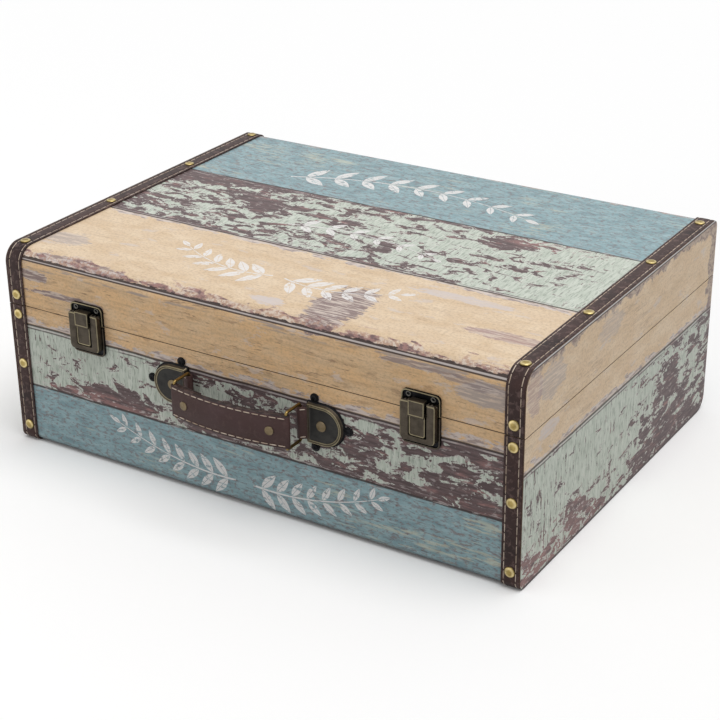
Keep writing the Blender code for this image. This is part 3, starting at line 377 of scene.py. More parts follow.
class Graph:
    """A tree of nodes, with one short call for each kind."""

    def __init__(self, tree):
        self.tree = tree

    def feed(self, socket, value):
        if isinstance(value, Level):
            self.tree.links.new(value.socket, socket)
        else:
            is_colour = isinstance(value, str) and socket.type == "RGBA"
            socket.default_value = linear(value) if is_colour else value

    def node(self, kind, inputs=(), output=0, **settings):
        """Adds a node and gives one of its outputs, or the list of them where it is None."""
        made = self.tree.nodes.new(kind)
        for key, value in settings.items():
            setattr(made, key, value)
        for key, value in dict(inputs).items():
            self.feed(made.inputs[key], value)
        if output is None:
            return [Level(self, socket) for socket in made.outputs]
        return Level(self, made.outputs[output])

    def math(self, operation, first, second=0.0, **settings):
        inputs = {0: first, 1: second}
        return self.node("ShaderNodeMath", inputs, operation=operation, **settings)

    def split(self, vector):
        return self.node("ShaderNodeSeparateXYZ", {0: vector}, None)

    def joined(self, x, y, z=0.0):
        return self.node("ShaderNodeCombineXYZ", {0: x, 1: y, 2: z})

    def seen(self):
        """1 for rays from the camera and those that metal and glass send on."""
        camera, _, _, glossy, _, _, through, *_ = self.node("ShaderNodeLightPath", (), None)
        return self.math("MAXIMUM", camera, self.math("MAXIMUM", glossy, through))


class Coat(Graph):
    """A material under construction; its patterns lie in its plane or in space."""

    def __init__(self, name):
        self.material = bpy.data.materials.new(name)
        self.material.use_nodes = True
        super().__init__(self.material.node_tree)
        self.shader = self.tree.nodes["Principled BSDF"]
        place = self.node("ShaderNodeTexCoord", (), "Object")
        millimetres = {0: place, "Scale": 1 / MM}
        self.place = self.node("ShaderNodeVectorMath", millimetres, operation="SCALE")
        self.plane = self.place

    def mapped(self, vector, scale, shift):
        inputs = {"Vector": vector, "Scale": scale, "Location": shift}
        return self.node("ShaderNodeMapping", inputs)

    def noise(self, scale, detail=3.0, shift=0.0, roughness=0.64, distortion=0.0):
        """Noise with so many features to the metre: in the plane where two numbers say so."""
        sizes = scale if isinstance(scale, tuple) else (scale, scale, scale)
        flat = len(sizes) == 2
        sizes = [size * MM for size in sizes] + [1.0] * flat
        shifts = (shift, 0.7 * shift, 0.3 * shift)
        inputs = {
            "Vector": self.mapped(self.plane if flat else self.place, sizes, shifts),
            "Scale": 1.0,
            "Detail": detail,
            "Roughness": roughness,
            "Distortion": distortion,
        }
        return self.node("ShaderNodeTexNoise", inputs, noise_dimensions="2D" if flat else "3D")

    def chips(self, length, height, shift):
        """A random value from -0.5 to 0.5 on each chip of about this length and height."""
        vector = self.mapped(self.plane, (1 / length, 1 / height, 1.0), (shift, shift, 0.0))
        inputs = {"Vector": vector, "Scale": 1.0}
        made = self.node("ShaderNodeTexVoronoi", inputs, "Color", voronoi_dimensions="2D")
        return self.node("ShaderNodeSeparateColor", {0: made}) - 0.5

    def patch(self, where, x, height, *reach):
        """1 at the centre of an oval place of the print and 0 past its reach."""
        if where == "front":
            height = print_run(FRONT_Y, height)
        elif where == "top":
            height = print_run(height, TOP_Z)
        scale = (1 / reach[0], 1 / reach[1], 1.0)
        local = self.mapped(self.plane, scale, (-x / reach[0], -height / reach[1], 0.0))
        away = self.node("ShaderNodeVectorMath", {0: local}, "Value", operation="LENGTH")
        return self.math("SUBTRACT", 1.0, away, use_clamp=True)

    def step(self, value, level, softness=0.02, rising=True):
        """0 below the level and 1 above it, or the other way round, over a soft edge."""
        ends = (0.0, 1.0) if rising else (1.0, 0.0)
        inputs = {0: value, 1: level - softness, 2: level + softness, 3: ends[0], 4: ends[1]}
        return self.node("ShaderNodeMapRange", inputs)

    def between(self, value, low, high, softness=0.02):
        return self.step(value, low, softness) * self.step(value, high, softness, False)

    def spots(self, scale, level, softness, detail=4, shift=0.0):
        """1 where noise passes the level and 0 elsewhere."""
        return self.step(self.noise(scale, detail, shift), level, softness)

    def mix(self, share, first, second):
        inputs = {0: share, 6: first, 7: second}
        return self.node("ShaderNodeMix", inputs, 2, data_type="RGBA")

    def over(self, colour, tone, *shares):
        """Lays a tone over a colour, as strongly as the product of the shares."""
        return self.mix(reduce(mul, shares), colour, tone)

    def marks(self, colour, *rows):
        """Lays tones over a colour in spots: each row has a tone, its share and its spots."""
        for tone, share, *spots in rows:
            colour = self.over(colour, tone, self.spots(*spots), share)
        return colour

    def blots(self, colour, places):
        """Worn places with torn, streaky edges: each has a place, a tone and a share."""
        torn = self.noise((70, 260), 8, 3.7, 0.72)
        streaks = self.spots((44, 560), 0.48, 0.03, 6, 6.1) * 0.8 + 0.15
        for *place, tone, share in places:
            worn = self.step(self.patch(*place) + torn, 0.82, 0.025)
            colour = self.over(colour, WORN_PALE, worn, 0.7 * share)
            colour = self.over(colour, tone, worn, streaks, share)
        return colour

    def bump(self, height, distance, strength=1.0):
        inputs = {"Height": height, "Distance": distance * MM, "Strength": strength}
        self.feed(self.shader.inputs["Normal"], self.node("ShaderNodeBump", inputs))

    def done(self, colour, roughness, metallic=0.0, **constants):
        self.feed(self.shader.inputs["Base Color"], colour)
        self.feed(self.shader.inputs["Roughness"], roughness)
        self.feed(self.shader.inputs["Metallic"], metallic)
        for name, value in constants.items():
            self.shader.inputs[name.replace("_", " ")].default_value = value


def cream_paint(coat, front):
    """Cream paint, mottled and worn; on the front it is browner and more cracked."""
    colour = coat.marks(
        coat.mix(front, CREAM, CREAM_FRONT),
        (CREAM_LIGHT, 1.0 - front * 0.7, (38, 60), 0.54, 0.12, 6),
        (CREAM_DEEP, 0.6, (30, 80), 0.57, 0.12, 6, 4.1),
        (CREAM_GRAIN, front * 0.26 + 0.08, (24, 460), 0.58, 0.12, 4, 9.3),
        (CREAM_GRAIN, 0.28, (420, 600), 0.56, 0.08, 3, 8.6),
        (SCORCH, front * 0.35 + 0.05, (46, 190), 0.64, 0.06, 7, 3.9),
        (WORN_PALE, 0.5, (34, 90), 0.65, 0.03, 8, 2.2),
    )
    from_crack = coat.math("ABSOLUTE", coat.noise((7, 70), 8, 6.4, distortion=0.3) - 0.5)
    crack = coat.step(from_crack, 0.008, 0.006, False)
    faint = front * 0.5 + 0.25
    return coat.marks(
        colour,
        (SCORCH, crack * faint, (13, 30), 0.57, 0.05, 3, 7.7),
        (SCORCH, faint, (60, 560), 0.70, 0.03, 4, 5.1),
    )


def mint_paint(coat, amount, scribble, flecked, shift=0.0):
    """Mint paint over maroon wood, torn off in chips where the amount is high."""
    strokes = coat.spots((300, 40), 0.5, 0.16, 4, shift + 1.7)
    colour = coat.mix(strokes, MINT, MINT_LIGHT)
    colour = coat.marks(colour, (MINT_DEEP, 0.75, (680, 110), 0.58, 0.05, 3, shift + 5.2))
    broken = coat.noise((54, 120), 7, shift + 3.1, 0.6, 0.5)
    broken += coat.chips(2.8, 1.4, shift) * 0.10
    broken += coat.chips(1.1, 0.8, shift + 3.0) * 0.05
    level = 0.70 - amount * 0.22
    colour = coat.over(colour, WORN_PALE, coat.step(broken, level - 0.03, 0.012), 0.5)
    clusters = coat.spots((26, 30), 0.5, 0.1, 4, shift + 6.1)
    loose = amount * 0.03 + flecked * clusters * 0.11
    flecks = coat.step(coat.noise((330, 60), 6, shift + 8.8, 0.66), 0.68 - loose, 0.012)
    flaked = coat.math("MAXIMUM", coat.step(broken, level, 0.005), flecks)
    wood = coat.mix(coat.spots((46, 230), 0.62, 0.08, 5, shift + 2.6), MAROON, BRICK)
    wood = coat.marks(wood, (MAROON_DARK, 0.75, (50, 420), 0.50, 0.10, 6, shift + 6.9))
    wood = coat.mix(scribble * 0.75, wood, BRICK)
    scratched = (WORN_PALE, scribble * 0.5 + 0.4, (120, 330), 0.62, 0.03, 6, shift + 4.4)
    return coat.mix(flaked, colour, coat.marks(wood, scratched))


def teal_paint(coat, wear):
    """Teal paint brushed along the plank, with dark clouds, specks and long pale streaks."""
    colour = coat.mix(coat.spots((60, 300), 0.54, 0.14, 6, 3.4), TEAL, TEAL_LIGHT)
    colour = coat.marks(colour, (TEAL_DEEP, 0.55, (60, 130), 0.55, 0.10, 8, 5.9))
    stain = coat.step(coat.noise((80, 260), 8, 8.1, 0.72, 0.4), 0.66 - wear * 0.06, 0.05)
    where = coat.spots((12, 30), 0.58, 0.05, 3, 4.4)
    return coat.marks(
        coat.over(colour, STAIN, stain, 0.7),
        (STAIN, 0.6, (240, 460), 0.58, 0.04, 4, 9.9),
        (MAROON, wear * 0.35 + 0.3, (90, 560), 0.62, 0.04, 4, 2.7),
        (TEAL_SCRATCH, where * 0.5, (30, 420), 0.60, 0.03, 6, 1.2),
    )


def cream_edge(coat, colour, away):
    """The joint between cream and mint: a doubled drawn line, with pale ragged wear on the cream."""
    reach = coat.step(coat.noise((55, 140), 7, 6.6, 0.68), 0.50, 0.16) * 8
    worn = coat.between(away, 0.8, reach, 0.5)
    colour = coat.over(colour, WORN_PALE, worn, 0.8)
    colour = coat.marks(colour, (STAIN, worn * 0.7, (80, 420), 0.54, 0.05, 6, 2.9))
    strength = coat.spots((30, 60), 0.44, 0.10, 4, 8.2)
    second = coat.between(away, -3.6, -2.4, 0.25)
    colour = coat.over(colour, MAROON_DARK, second, strength, 0.85)
    gap = coat.between(away, -2.4, -1.1, 0.25)
    colour = coat.over(colour, WORN_PALE, gap, strength, 0.6)
    return coat.over(colour, LINE_DARK, coat.between(away, -1.1, 0.7, 0.25), 0.9)


def teal_edge(coat, colour, away):
    """The joint between mint and teal: one dark line and a few pale scratches over it."""
    colour = coat.over(colour, LINE_DARK, coat.between(away, -0.9, 0.9, 0.25), 0.9)
    near = coat.between(away, -3.0, 6.0, 1.5)
    return coat.marks(colour, (WORN_PALE, near * 0.6, (40, 520), 0.62, 0.03, 5, 7.3))


def groove(coat, colour, away):
    """The drawn bead along the top's front edge: white between dark lines, rubbed rusty behind.

    The bead widens towards the right.
    """
    broad = coat.step(coat.split(coat.plane)[0], 0.0, 200) * 0.4
    reach = coat.step(coat.noise((34, 110), 8, 4.7, 0.7, 0.4), 0.48, 0.15) * 14
    peeled = coat.between(away, 1.0, reach, 1.0)
    core = coat.spots((60, 190), 0.53, 0.04, 8, 2.1)
    below = coat.between(away, -7.0, -1.2, 1.0)
    colour = coat.over(colour, WORN_PALE, peeled, 0.5)
    colour = coat.marks(colour, (RUST, peeled * 0.6, (300, 300), 0.5, 0.05, 4, 7.1))
    colour = coat.marks(
        coat.over(colour, BRICK, peeled, core, 0.9),
        (MAROON, peeled * core * 0.8, (170, 260), 0.5, 0.06, 6, 3.1),
        (WORN_GREY, below * 0.8, (30, 300), 0.58, 0.04, 6, 9.6),
    )
    thick = coat.spots((70, 260), 0.52, 0.10, 8, 7.1) * 1.6
    low, high = -0.3 - broad, broad + 0.3
    dark = coat.between(away, low - 1.2, high + thick + 1.1, 0.2)
    colour = coat.over(colour, LINE_DARK, dark, 0.95)
    return coat.over(colour, WORN_PALE, coat.between(away, low, high, 0.2), 0.8)


DRAWN = {"cream": cream_edge, "teal": teal_edge, "groove": groove}


def case_print(coat):
    """The printed planks that run round the case: three tones on the front, the top and the back."""
    x, _, z = coat.split(coat.place)
    run = coat.node("ShaderNodeAttribute", (), "Fac", attribute_name="run")
    coat.plane = coat.joined(x, run)
    wavy = run + (coat.noise((22, 9), 2, 0.4) - 0.5) * 1.6
    over_top = coat.step(run, GROOVE_RUN, 1)
    front = 1.0 - over_top
    leaning = x * (front - over_top) * 0.0022
    amount = leaning + (coat.noise((10, 16), 3, 2.4) - 0.5) * 1.6 + 0.66
    for boundary, kind, *_ in JOINTS:
        away = coat.math("ABSOLUTE", run - boundary) * (1 / JOINT_WEAR[kind])
        amount += coat.math("SUBTRACT", 1.0, away, use_clamp=True) * amount * 1.2
    for *place, more in FLAKED_PLACES:
        amount += coat.patch(*place) * more
    pink = coat.math("MAXIMUM", *(coat.patch(*place) for place in PINK_PLACES))
    amount += pink * 0.7
    scribble = coat.spots((60, 300), 0.47, 0.05, 5, 3.8)
    scribble *= coat.math("MULTIPLY", pink, 2.5, use_clamp=True)
    paints = {
        "cream": coat.blots(cream_paint(coat, front), WORN_PLACES),
        "mint": mint_paint(coat, amount, scribble, coat.patch(*FLECKED_PLACE)),
        "teal": teal_paint(coat, leaning + 0.5),
    }
    colour = paints["teal"]
    for boundary, _, _, paint in JOINTS:
        colour = coat.mix(coat.step(wavy, boundary, 0.15), colour, paints[paint])
    for boundary, kind, worn_side, _ in JOINTS:
        away = ((run if kind == "groove" else wavy) - boundary) * worn_side
        colour = DRAWN[kind](coat, colour, away)
    streaks = coat.spots((40, 330), 0.54, 0.03, 7, 5.7)
    for place in STREAKED_PLACES:
        near = coat.math("MULTIPLY", coat.patch(*place), 3.0, use_clamp=True)
        colour = coat.over(colour, TEAL_SCRATCH, streaks, near, 0.5)
    # Painted shade: the print darkens over its last few millimetres towards the bottom edge
    colour = coat.over(colour, MAROON_DARK, coat.step(z, BOTTOM_Z + 2.5, 2.0, False), 0.6)
    backing = coat.mix(coat.spots(50, 0.5, 0.12, 8, 2.2), PAPER_DARK, MAROON)
    return coat.mix(coat.step(z, BOTTOM_Z + 0.5, 0.25, False), colour, backing)


def finish_paper(coat, colour):
    """Satin printed paper: a fine tooth and slight swells where it lies on the board."""
    tooth = coat.noise((1500, 1500), 2)
    coat.bump(tooth * 0.2 + coat.noise((30, 30), 2, 1.1), 0.12, 0.5)
    coat.done(colour, tooth * 0.16 + 0.42, Specular_IOR_Level=0.35)


def printed_paper():
    coat = Coat("printed_planks")
    finish_paper(coat, case_print(coat))


def printed_white():
    """White print that has worn off in places down to the planks."""
    coat = Coat("worn_white_print")
    colour = case_print(coat)
    rubbed = 1.0 - coat.spots((190, 260), 0.61, 0.05, 6, 3.3)
    scratched = 1.0 - coat.spots((40, 700), 0.66, 0.04, 3, 5.5)
    finish_paper(coat, coat.mix(rubbed * scratched * 0.84 + 0.06, colour, PRINT_WHITE))


def printed_end():
    """The printed planks of an end: cream above, flaked mint below."""
    coat = Coat("printed_end_planks")
    x, y, z = coat.split(coat.place)
    coat.plane = plane = coat.joined(y, z)
    amount = coat.step(y, 45, 45) * 0.75
    for *place, more in END_FLAKED_PLACES:
        amount += coat.patch(*place) * more
    coat.plane = shifted = coat.joined(y + x * 3.0, z)
    low = coat.step(z, 24, 18, False)
    amount += (coat.noise((11, 16), 2, 6.4) - 0.5) * 1.4 + 0.18 + low * 0.75
    cream = cream_paint(coat, 0.15)
    in_front = coat.step(y, -20, 70, False)
    scribble = coat.spots((70, 300), 0.42, 0.05, 6, 3.8) * low * in_front
    mint = mint_paint(coat, amount, scribble, in_front, 12.3)
    coat.plane = plane
    cream = coat.blots(cream, END_WORN_PLACES)
    coat.plane = shifted
    wavy = z + (coat.noise((22, 9), 2, 0.4) - 0.5) * 1.6
    colour = coat.mix(coat.step(wavy, END_CREAM_FOOT_Z, 0.15), mint, cream)
    colour = cream_edge(coat, colour, wavy - END_CREAM_FOOT_Z)
    from_top = (TOP_Z + END_PROUD) - z
    from_edge = coat.math("MINIMUM", from_top, (BACK_Y + END_PROUD) - y)
    reach = coat.spots((60, 60), 0.48, 0.16, 7, 9.7) * 9 + coat.step(y, BACK_Y - 30, 20) * 6
    bite = coat.between(from_edge, 0.0, reach, 1) * coat.step(z, END_CREAM_FOOT_Z, 1)
    colour = coat.over(colour, WORN_GREY, bite, 0.6)
    colour = coat.marks(colour, (STAIN, bite * 0.8, (160, 240), 0.52, 0.06, 5, 3.3))
    colour = coat.over(colour, LINE_DARK, coat.step(from_top, 2.1, 0.2, False), 0.85)
    colour = coat.over(colour, PRINT_WHITE, coat.step(from_top, 1.0, 0.2, False), 0.75)
    # Painted shade: a thin dark line along the bottom edge
    foot = coat.step(z, BOTTOM_Z + 0.7, 0.4, False)
    finish_paper(coat, coat.mix(foot, colour, MAROON_DARK))


def paper_edge():
    coat = Coat("cut_paper_edge")
    layers = coat.noise((120, 120, 1800))
    coat.bump(layers, 0.1, 0.6)
    coat.done(coat.mix(coat.step(layers, 0.5, 0.15), PAPER_DARK, FIBREBOARD_DARK), 0.85)


def leather(name, plain, dark, worn_share, grain=950):
    """Leatherette with a pebbled grain, mottled darker and rubbed on its crowns."""
    coat = Coat(name)
    pebble = coat.node("ShaderNodeTexVoronoi", {"Vector": coat.place, "Scale": grain * MM})
    crease = coat.noise(240, 6, 0.0, 0.6, 0.6)
    colour = coat.mix(coat.spots(28, 0.5, 0.16, 3, 2.0), plain, dark)
    colour = coat.over(colour, LEATHER_WORN, coat.step(crease, 0.58, 0.07), worn_share)
    coat.bump(pebble * 0.5 + crease * 0.8, 0.22, 0.55)
    coat.done(colour, crease * 0.22 + 0.40, Specular_IOR_Level=0.2)


def thread():
    coat = Coat("waxed_thread")
    twist = coat.noise(1500, 2)
    colour = coat.mix(coat.spots(60, 0.52, 0.12, 3, 1.0), THREAD, THREAD_DARK)
    coat.bump(twist, 0.15, 0.8)
    coat.done(coat.over(colour, THREAD_DARK, coat.step(twist, 0.5, 0.15), 0.35), 0.75)


def metal(name, plain, dark, roughness, dirt_share, dents=0.05, crown=None):
    """Plated metal with fine brushing, darker film in its pits and small dents; with a crown colour, its
    crown gets a painted highlight, partly rubbed wear, and its rim painted shade, partly patina.
    """
    coat = Coat(name)
    brushing = coat.noise((90, 90, 900))
    film = coat.noise(170, 6, 4.0)
    if crown:
        height = coat.node("ShaderNodeAttribute", (), "Fac", attribute_name="crown")
        height += coat.noise(260, 4, 2.0) * 0.5
        # Painted shade, partly patina: darker towards the foot of the dome
        plain = coat.mix(coat.step(height, 0.62, 0.2), dark, plain)
        # Painted highlight, partly rubbed wear: the crown colour over the top of the dome
        plain = coat.over(plain, crown, coat.between(height, 0.75, 1.08, 0.08), 0.6)
    colour = coat.over(plain, dark, coat.step(film, 0.55, 0.12), dirt_share)
    colour = coat.over(colour, dark, coat.step(brushing, 0.6, 0.1), 0.2)
    coat.bump(brushing * 0.12 + coat.noise(420, 3, 7.0), dents, 0.9)
    coat.done(colour, film * 0.22 + roughness, 1.0)


def fibreboard():
    coat = Coat("fibreboard")
    fibres = coat.noise(700, 4)
    colour = coat.mix(coat.step(fibres, 0.52, 0.12), FIBREBOARD, FIBREBOARD_DARK)
    coat.bump(fibres, 0.25, 0.8)
    coat.done(coat.marks(colour, (FIBREBOARD_DARK, 0.4, 35, 0.55, 0.12, 3, 3.0)), 0.88)


def lining_cloth():
    """Plain-woven cloth: two sets of threads at right angles, on each wall of the tray."""
    coat = Coat("lining_cloth")
    x, y, z = coat.split(coat.place)
    weave = 0.25
    for across in (x, y):
        weave = coat.math("SINE", (across + z) * (2 * pi / WEAVE_PITCH)) * weave
    level = weave + coat.noise(260, 4)
    coat.bump(level, 0.25, 0.8)
    colour = coat.mix(coat.step(level, 0.5, 0.3), LINING, LINING_LIGHT)
    coat.done(colour, 0.95, Sheen_Weight=0.25, Sheen_Roughness=0.5)


def build_materials():
    printed_paper()
    printed_white()
    printed_end()
    paper_edge()
    leather("band_leatherette", LEATHER, LEATHER_DARK, 0.55)
    leather("strap_leather", STRAP_BROWN, LEATHER, 0.15, 1300)
    leather("strap_painted_edge", STRAP_EDGE, LEATHER_DARK, 0.3, 1300)
    thread()
    # The nails get a painted highlight on their crowns and painted shade at their rims
    metal("nail_brass", BRASS, BRASS_DARK, 0.26, 0.5, 0.12, BRASS_HIGHLIGHT)
    metal("rivet_brass", RIVET_BRASS, BRASS_DARK, 0.36, 0.5, 0.08)
    metal("ring_brass", BRASS_RING, BRASS_DARK, 0.22, 0.4)
    metal("antique_bronze", BRONZE, BRONZE_DARK, 0.36, 0.55)
    # Worn bronze for rims and edges, partly wear and partly a painted highlight
    metal("worn_bronze_edge", BRONZE_WORN_HIGHLIGHT, BRONZE, 0.28, 0.4)
    metal("blackened_steel", BLACKENED, BLACKENED_DARK, 0.38, 0.6)
    metal("dark_dish", DISH_GREY, BLACKENED, 0.42, 0.45)
    metal("dull_steel", BLACKENED_WORN, BLACKENED, 0.35, 0.4)
    fibreboard()
    lining_cloth()


# Shapes, as points and faces


def on_front(x, z, proud):
    return Vector((x, FRONT_Y - proud, z))


def on_back(x, z, proud):
    return Vector((x, BACK_Y + proud, z))


def on_top(x, y, proud):
    return Vector((x, y, TOP_Z + proud))


def from_side(proud, z, x):
    return on_front(x, z, proud)


def upright(x, y, z):
    return Vector((x, y, z))


def wall_path(is_lid, offset, ease=((0.0, 1.0),)):
    """Points (y, z) of the case's profile from front rim to back rim, offset outwards.

    ease gives distances from the rim and the share of the offset there.
    """
    towards = 1 if is_lid else -1
    rim, far = (LID_LOW.z, TOP_Z) if is_lid else (BASE_HIGH.z, BOTTOM_Z)
    halves = []
    for at_front, wall, outwards in ((True, FRONT_Y, -1), (False, BACK_Y, 1)):
        radius = corner_radius(is_lid, at_front)
        half = []
        for along, share in ease:
            proud = FIT_GAP + (offset - FIT_GAP) * share
            half.append((wall + outwards * proud, rim + towards * along))
        for a, b in arc(-radius, -radius, radius + offset, 0, pi / 2, CORNER_STEPS):
            half.append((wall + outwards * a, far + towards * b))
        halves.append(half)
    return halves[0] + halves[1][::-1]


def skin(stations):
    """Points and faces of a closed skin over rings with the same number of points each."""
    size = len(stations[0])
    points = [point for station in stations for point in station]
    last = len(points) - size
    faces = [tuple(range(size)), tuple(range(last, last + size))]
    for here in range(0, last, size):
        for index in range(size):
            after = (index + 1) % size
            ahead = here + size
            faces.append((here + index, here + after, ahead + after, ahead + index))
    return points, faces


def lofted(edges):
    """A skin over the rings that lines with the same number of points each go through."""
    return skin([list(ring) for ring in zip(*edges)])


def prism(outline, near, far, place):
    return skin([[place(a, b, depth) for a, b in outline] for depth in (near, far)])


def terraced(outline_at, levels, place):
    """A solid in steps: each level is an inset of the outline and a depth."""
    return skin([[place(a, b, depth) for a, b in outline_at(inset)] for inset, depth in levels])


def turned(profile, foot, axis, sides=28):
    """A turned solid: profile gives (radius, height along the axis) from its foot up."""
    turn = Vector(UPWARDS).rotation_difference(Vector(axis)).to_matrix()
    angles = [2 * pi * index / sides for index in range(sides)]
    return skin([
        [foot + turn @ Vector((radius * cos(a), radius * sin(a), height)) for a in angles]
        for radius, height in profile
    ])


def rod(radius, reach, axle, centre, sides):
    """A round rod along X on an axle, from one side of a centre to the other."""
    foot = from_side(*axle, centre - reach)
    return turned([(radius, 0), (radius, 2 * reach)], foot, (1, 0, 0), sides)


def arc(centre_a, centre_b, radius, start, end, steps=8):
    angles = [start + (end - start) * step / steps for step in range(steps + 1)]
    return [(centre_a + radius * cos(a), centre_b + radius * sin(a)) for a in angles]


def rectangle(a0, a1, b0, b1):
    return [(a0, b0), (a1, b0), (a1, b1), (a0, b1)]


# Meshes and objects


def clad(mesh, materials, chosen=None, smooth=SMOOTH):
    """Gives a mesh its materials; chosen(centre, normal) gives the number of each face's one."""
    mesh.materials.clear()
    for material in materials:
        mesh.materials.append(bpy.data.materials[material])
    if chosen:
        for face in mesh.polygons:
            face.material_index = chosen(face.center / MM, face.normal)
    shade(mesh, smooth)


def shade(mesh, smooth=SMOOTH):
    mesh.shade_smooth()
    mesh.set_sharp_from_angle(angle=smooth)


def mesh_of(name, shapes, materials=(), chosen=None, smooth=SMOOTH):
    """A mesh of closed shapes."""
    mesh = bpy.data.meshes.new(name)
    work = bmesh.new()
    for points, faces in shapes:
        corners = [work.verts.new(point * MM) for point in points]
        for face in faces:
            work.faces.new([corners[index] for index in face])
    bmesh.ops.recalc_face_normals(work, faces=work.faces)
    work.to_mesh(mesh)
    work.free()
    clad(mesh, materials, chosen, smooth)
    return mesh


def store_run(mesh):
    """Keeps each point's length along the print, which its pattern follows."""
    run = mesh.attributes.new("run", "FLOAT", "POINT")
    for vertex, item in zip(mesh.vertices, run.data):
        item.value = print_run(vertex.co.y / MM, vertex.co.z / MM)
    return mesh


def linked(data):
    made = bpy.data.objects.new(data.name, data)
    bpy.context.scene.collection.objects.link(made)
    return made


def freeze(made):
    """Turns an object with modifiers into the plain mesh that they make."""
    graph = bpy.context.evaluated_depsgraph_get()
    mesh = bpy.data.meshes.new_from_object(made.evaluated_get(graph))
    made.modifiers.clear()
    made.data = mesh
    return made


def settle(made, node, stands=True):
    """Lets a finished piece ride on a node's body and mostly in its stead."""
    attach(made, BODY_OF[node])
    if stands:
        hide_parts(node)


def piece(name, node, shapes, materials, chosen=None, stands=True, smooth=SMOOTH):
    settle(linked(mesh_of(name, shapes, materials, chosen, smooth)), node, stands)


def boolean(made, shape, operation="DIFFERENCE"):
    helper = linked(mesh_of(f"{made.name}_helper", shape if isinstance(shape, list) else [shape]))
    modifier = made.modifiers.new(operation.lower(), "BOOLEAN")
    modifier.operation = operation
    modifier.object = helper
    freeze(made)
    bpy.data.objects.remove(helper)


def dressed(node, materials, width, worn=-1):
    """A copy of a node with eased edges, in a worn material or its own, which stands for it; the worn
    material on the edges is also a painted highlight.
    """
    work = bmesh.new()
    work.from_mesh(frame["nodes"][node].data)
    bmesh.ops.remove_doubles(work, verts=work.verts, dist=0.002 * MM)
    bmesh.ops.dissolve_limit(
        work,
        angle_limit=radians(0.5),
        verts=work.verts,
        edges=work.edges,
        use_dissolve_boundaries=False,
    )
    mesh = bpy.data.meshes.new(f"{node}_dressed")
    work.to_mesh(mesh)
    work.free()
    if "custom_normal" in mesh.attributes:
        mesh.attributes.remove(mesh.attributes["custom_normal"])
    mesh.materials.clear()
    for material in materials:
        mesh.materials.append(bpy.data.materials[material])
    made = linked(mesh)
    modifier = made.modifiers.new("eased edges", "BEVEL")
    modifier.width = width * MM
    modifier.segments = 2
    modifier.limit_method = "ANGLE"
    modifier.angle_limit = radians(40)
    modifier.material = worn
    modifier.use_clamp_overlap = False
    shade(freeze(made).data)
    settle(made, node)


# Trees of geometry nodes


class Tree(Graph):
    """A tree of geometry nodes with named inputs, among them its points or paths."""

    def __init__(self, name, numbers=(), **others):
        super().__init__(bpy.data.node_groups.new(name, "GeometryNodeTree"))
        kinds = {"Geometry": "Geometry", **dict.fromkeys(numbers, "Float"), **others}
        kinds["Material"] = "Material"
        face = self.tree.interface
        for label, kind in kinds.items():
            face.new_socket(label, in_out="INPUT", socket_type=f"NodeSocket{kind}")
        face.new_socket("Geometry", in_out="OUTPUT", socket_type="NodeSocketGeometry")
        given = self.tree.nodes.new("NodeGroupInput").outputs
        self.given = {label: Level(self, given[label]) for label in kinds}
        self.output = self.tree.nodes.new("NodeGroupOutput").inputs[0]

    def ball(self, segments, rings):
        """A ball of radius 1, and the places of its points along each axis."""
        size = {"Segments": segments, "Rings": rings, "Radius": 1.0}
        ball = self.node("GeometryNodeMeshUVSphere", size)
        return ball, *self.split(self.node("GeometryNodeInputPosition"))

    def moved(self, mesh, *place):
        inputs = {"Geometry": mesh, "Position": self.joined(*place)}
        return self.node("GeometryNodeSetPosition", inputs)

    def sized(self, mesh, *size):
        inputs = {"Geometry": mesh, "Scale": self.joined(*size)}
        return self.node("GeometryNodeTransform", inputs)

    def turned_to(self, direction):
        return self.node("FunctionNodeAlignRotationToVector", {"Vector": direction}, axis="Z")

    def facing(self):
        """The turn to the direction that each point faces."""
        kind = {"data_type": "FLOAT_VECTOR"}
        outward = self.node("GeometryNodeInputNamedAttribute", {"Name": "outward"}, **kind)
        return self.turned_to(outward)

    def copied(self, points, shape, turn):
        copies = {"Points": points, "Instance": shape, "Rotation": turn}
        self.close(self.node("GeometryNodeInstanceOnPoints", copies))

    def close(self, geometry):
        """Realizes the copies, gives them the material and ends the tree."""
        real = self.node("GeometryNodeRealizeInstances", {0: geometry})
        smooth = self.node("GeometryNodeSetShadeSmooth", {0: real})
        done = self.node("GeometryNodeSetMaterial", {0: smooth, 2: self.given["Material"]})
        self.feed(self.output, done)


def stitch_tree():
    """Stitches laid end to end along paths, each a rounded length of thread."""
    tree = Tree("stitch_row", ("Pitch", "Length", "Radius", "Bluntness"))
    curve = tree.node("GeometryNodeMeshToCurve", {0: tree.given["Geometry"]})
    spread = {"Curve": curve, "Length": tree.given["Pitch"]}
    points, tangent, *_ = tree.node("GeometryNodeCurveToPoints", spread, None, mode="LENGTH")
    ball, x, y, z = tree.ball(8, 7)
    blunt = tree.math("POWER", tree.math("ABSOLUTE", z), tree.given["Bluntness"])
    stitch = tree.moved(ball, x, y, blunt * tree.math("SIGN", z))
    radius = tree.given["Radius"]
    stitch = tree.sized(stitch, radius, radius, tree.given["Length"] * 0.5)
    tree.copied(points, stitch, tree.turned_to(tangent))


def nail_tree():
    """Domed nail heads on points, each facing the way that its outward attribute says."""
    tree = Tree("nail_heads", ("Radius", "Height", "Sink Share"))
    ball, x, y, z = tree.ball(24, 16)
    tall = tree.math("MAXIMUM", z, z * tree.given["Sink Share"])
    crown = {"Geometry": tree.moved(ball, x, y, tall), "Name": "crown", "Value": tall}
    kind = {"data_type": "FLOAT", "domain": "POINT"}
    head = tree.node("GeometryNodeStoreNamedAttribute", crown, **kind)
    radius = tree.given["Radius"]
    head = tree.sized(head, radius, radius, tree.given["Height"])
    tree.copied(tree.given["Geometry"], head, tree.facing())


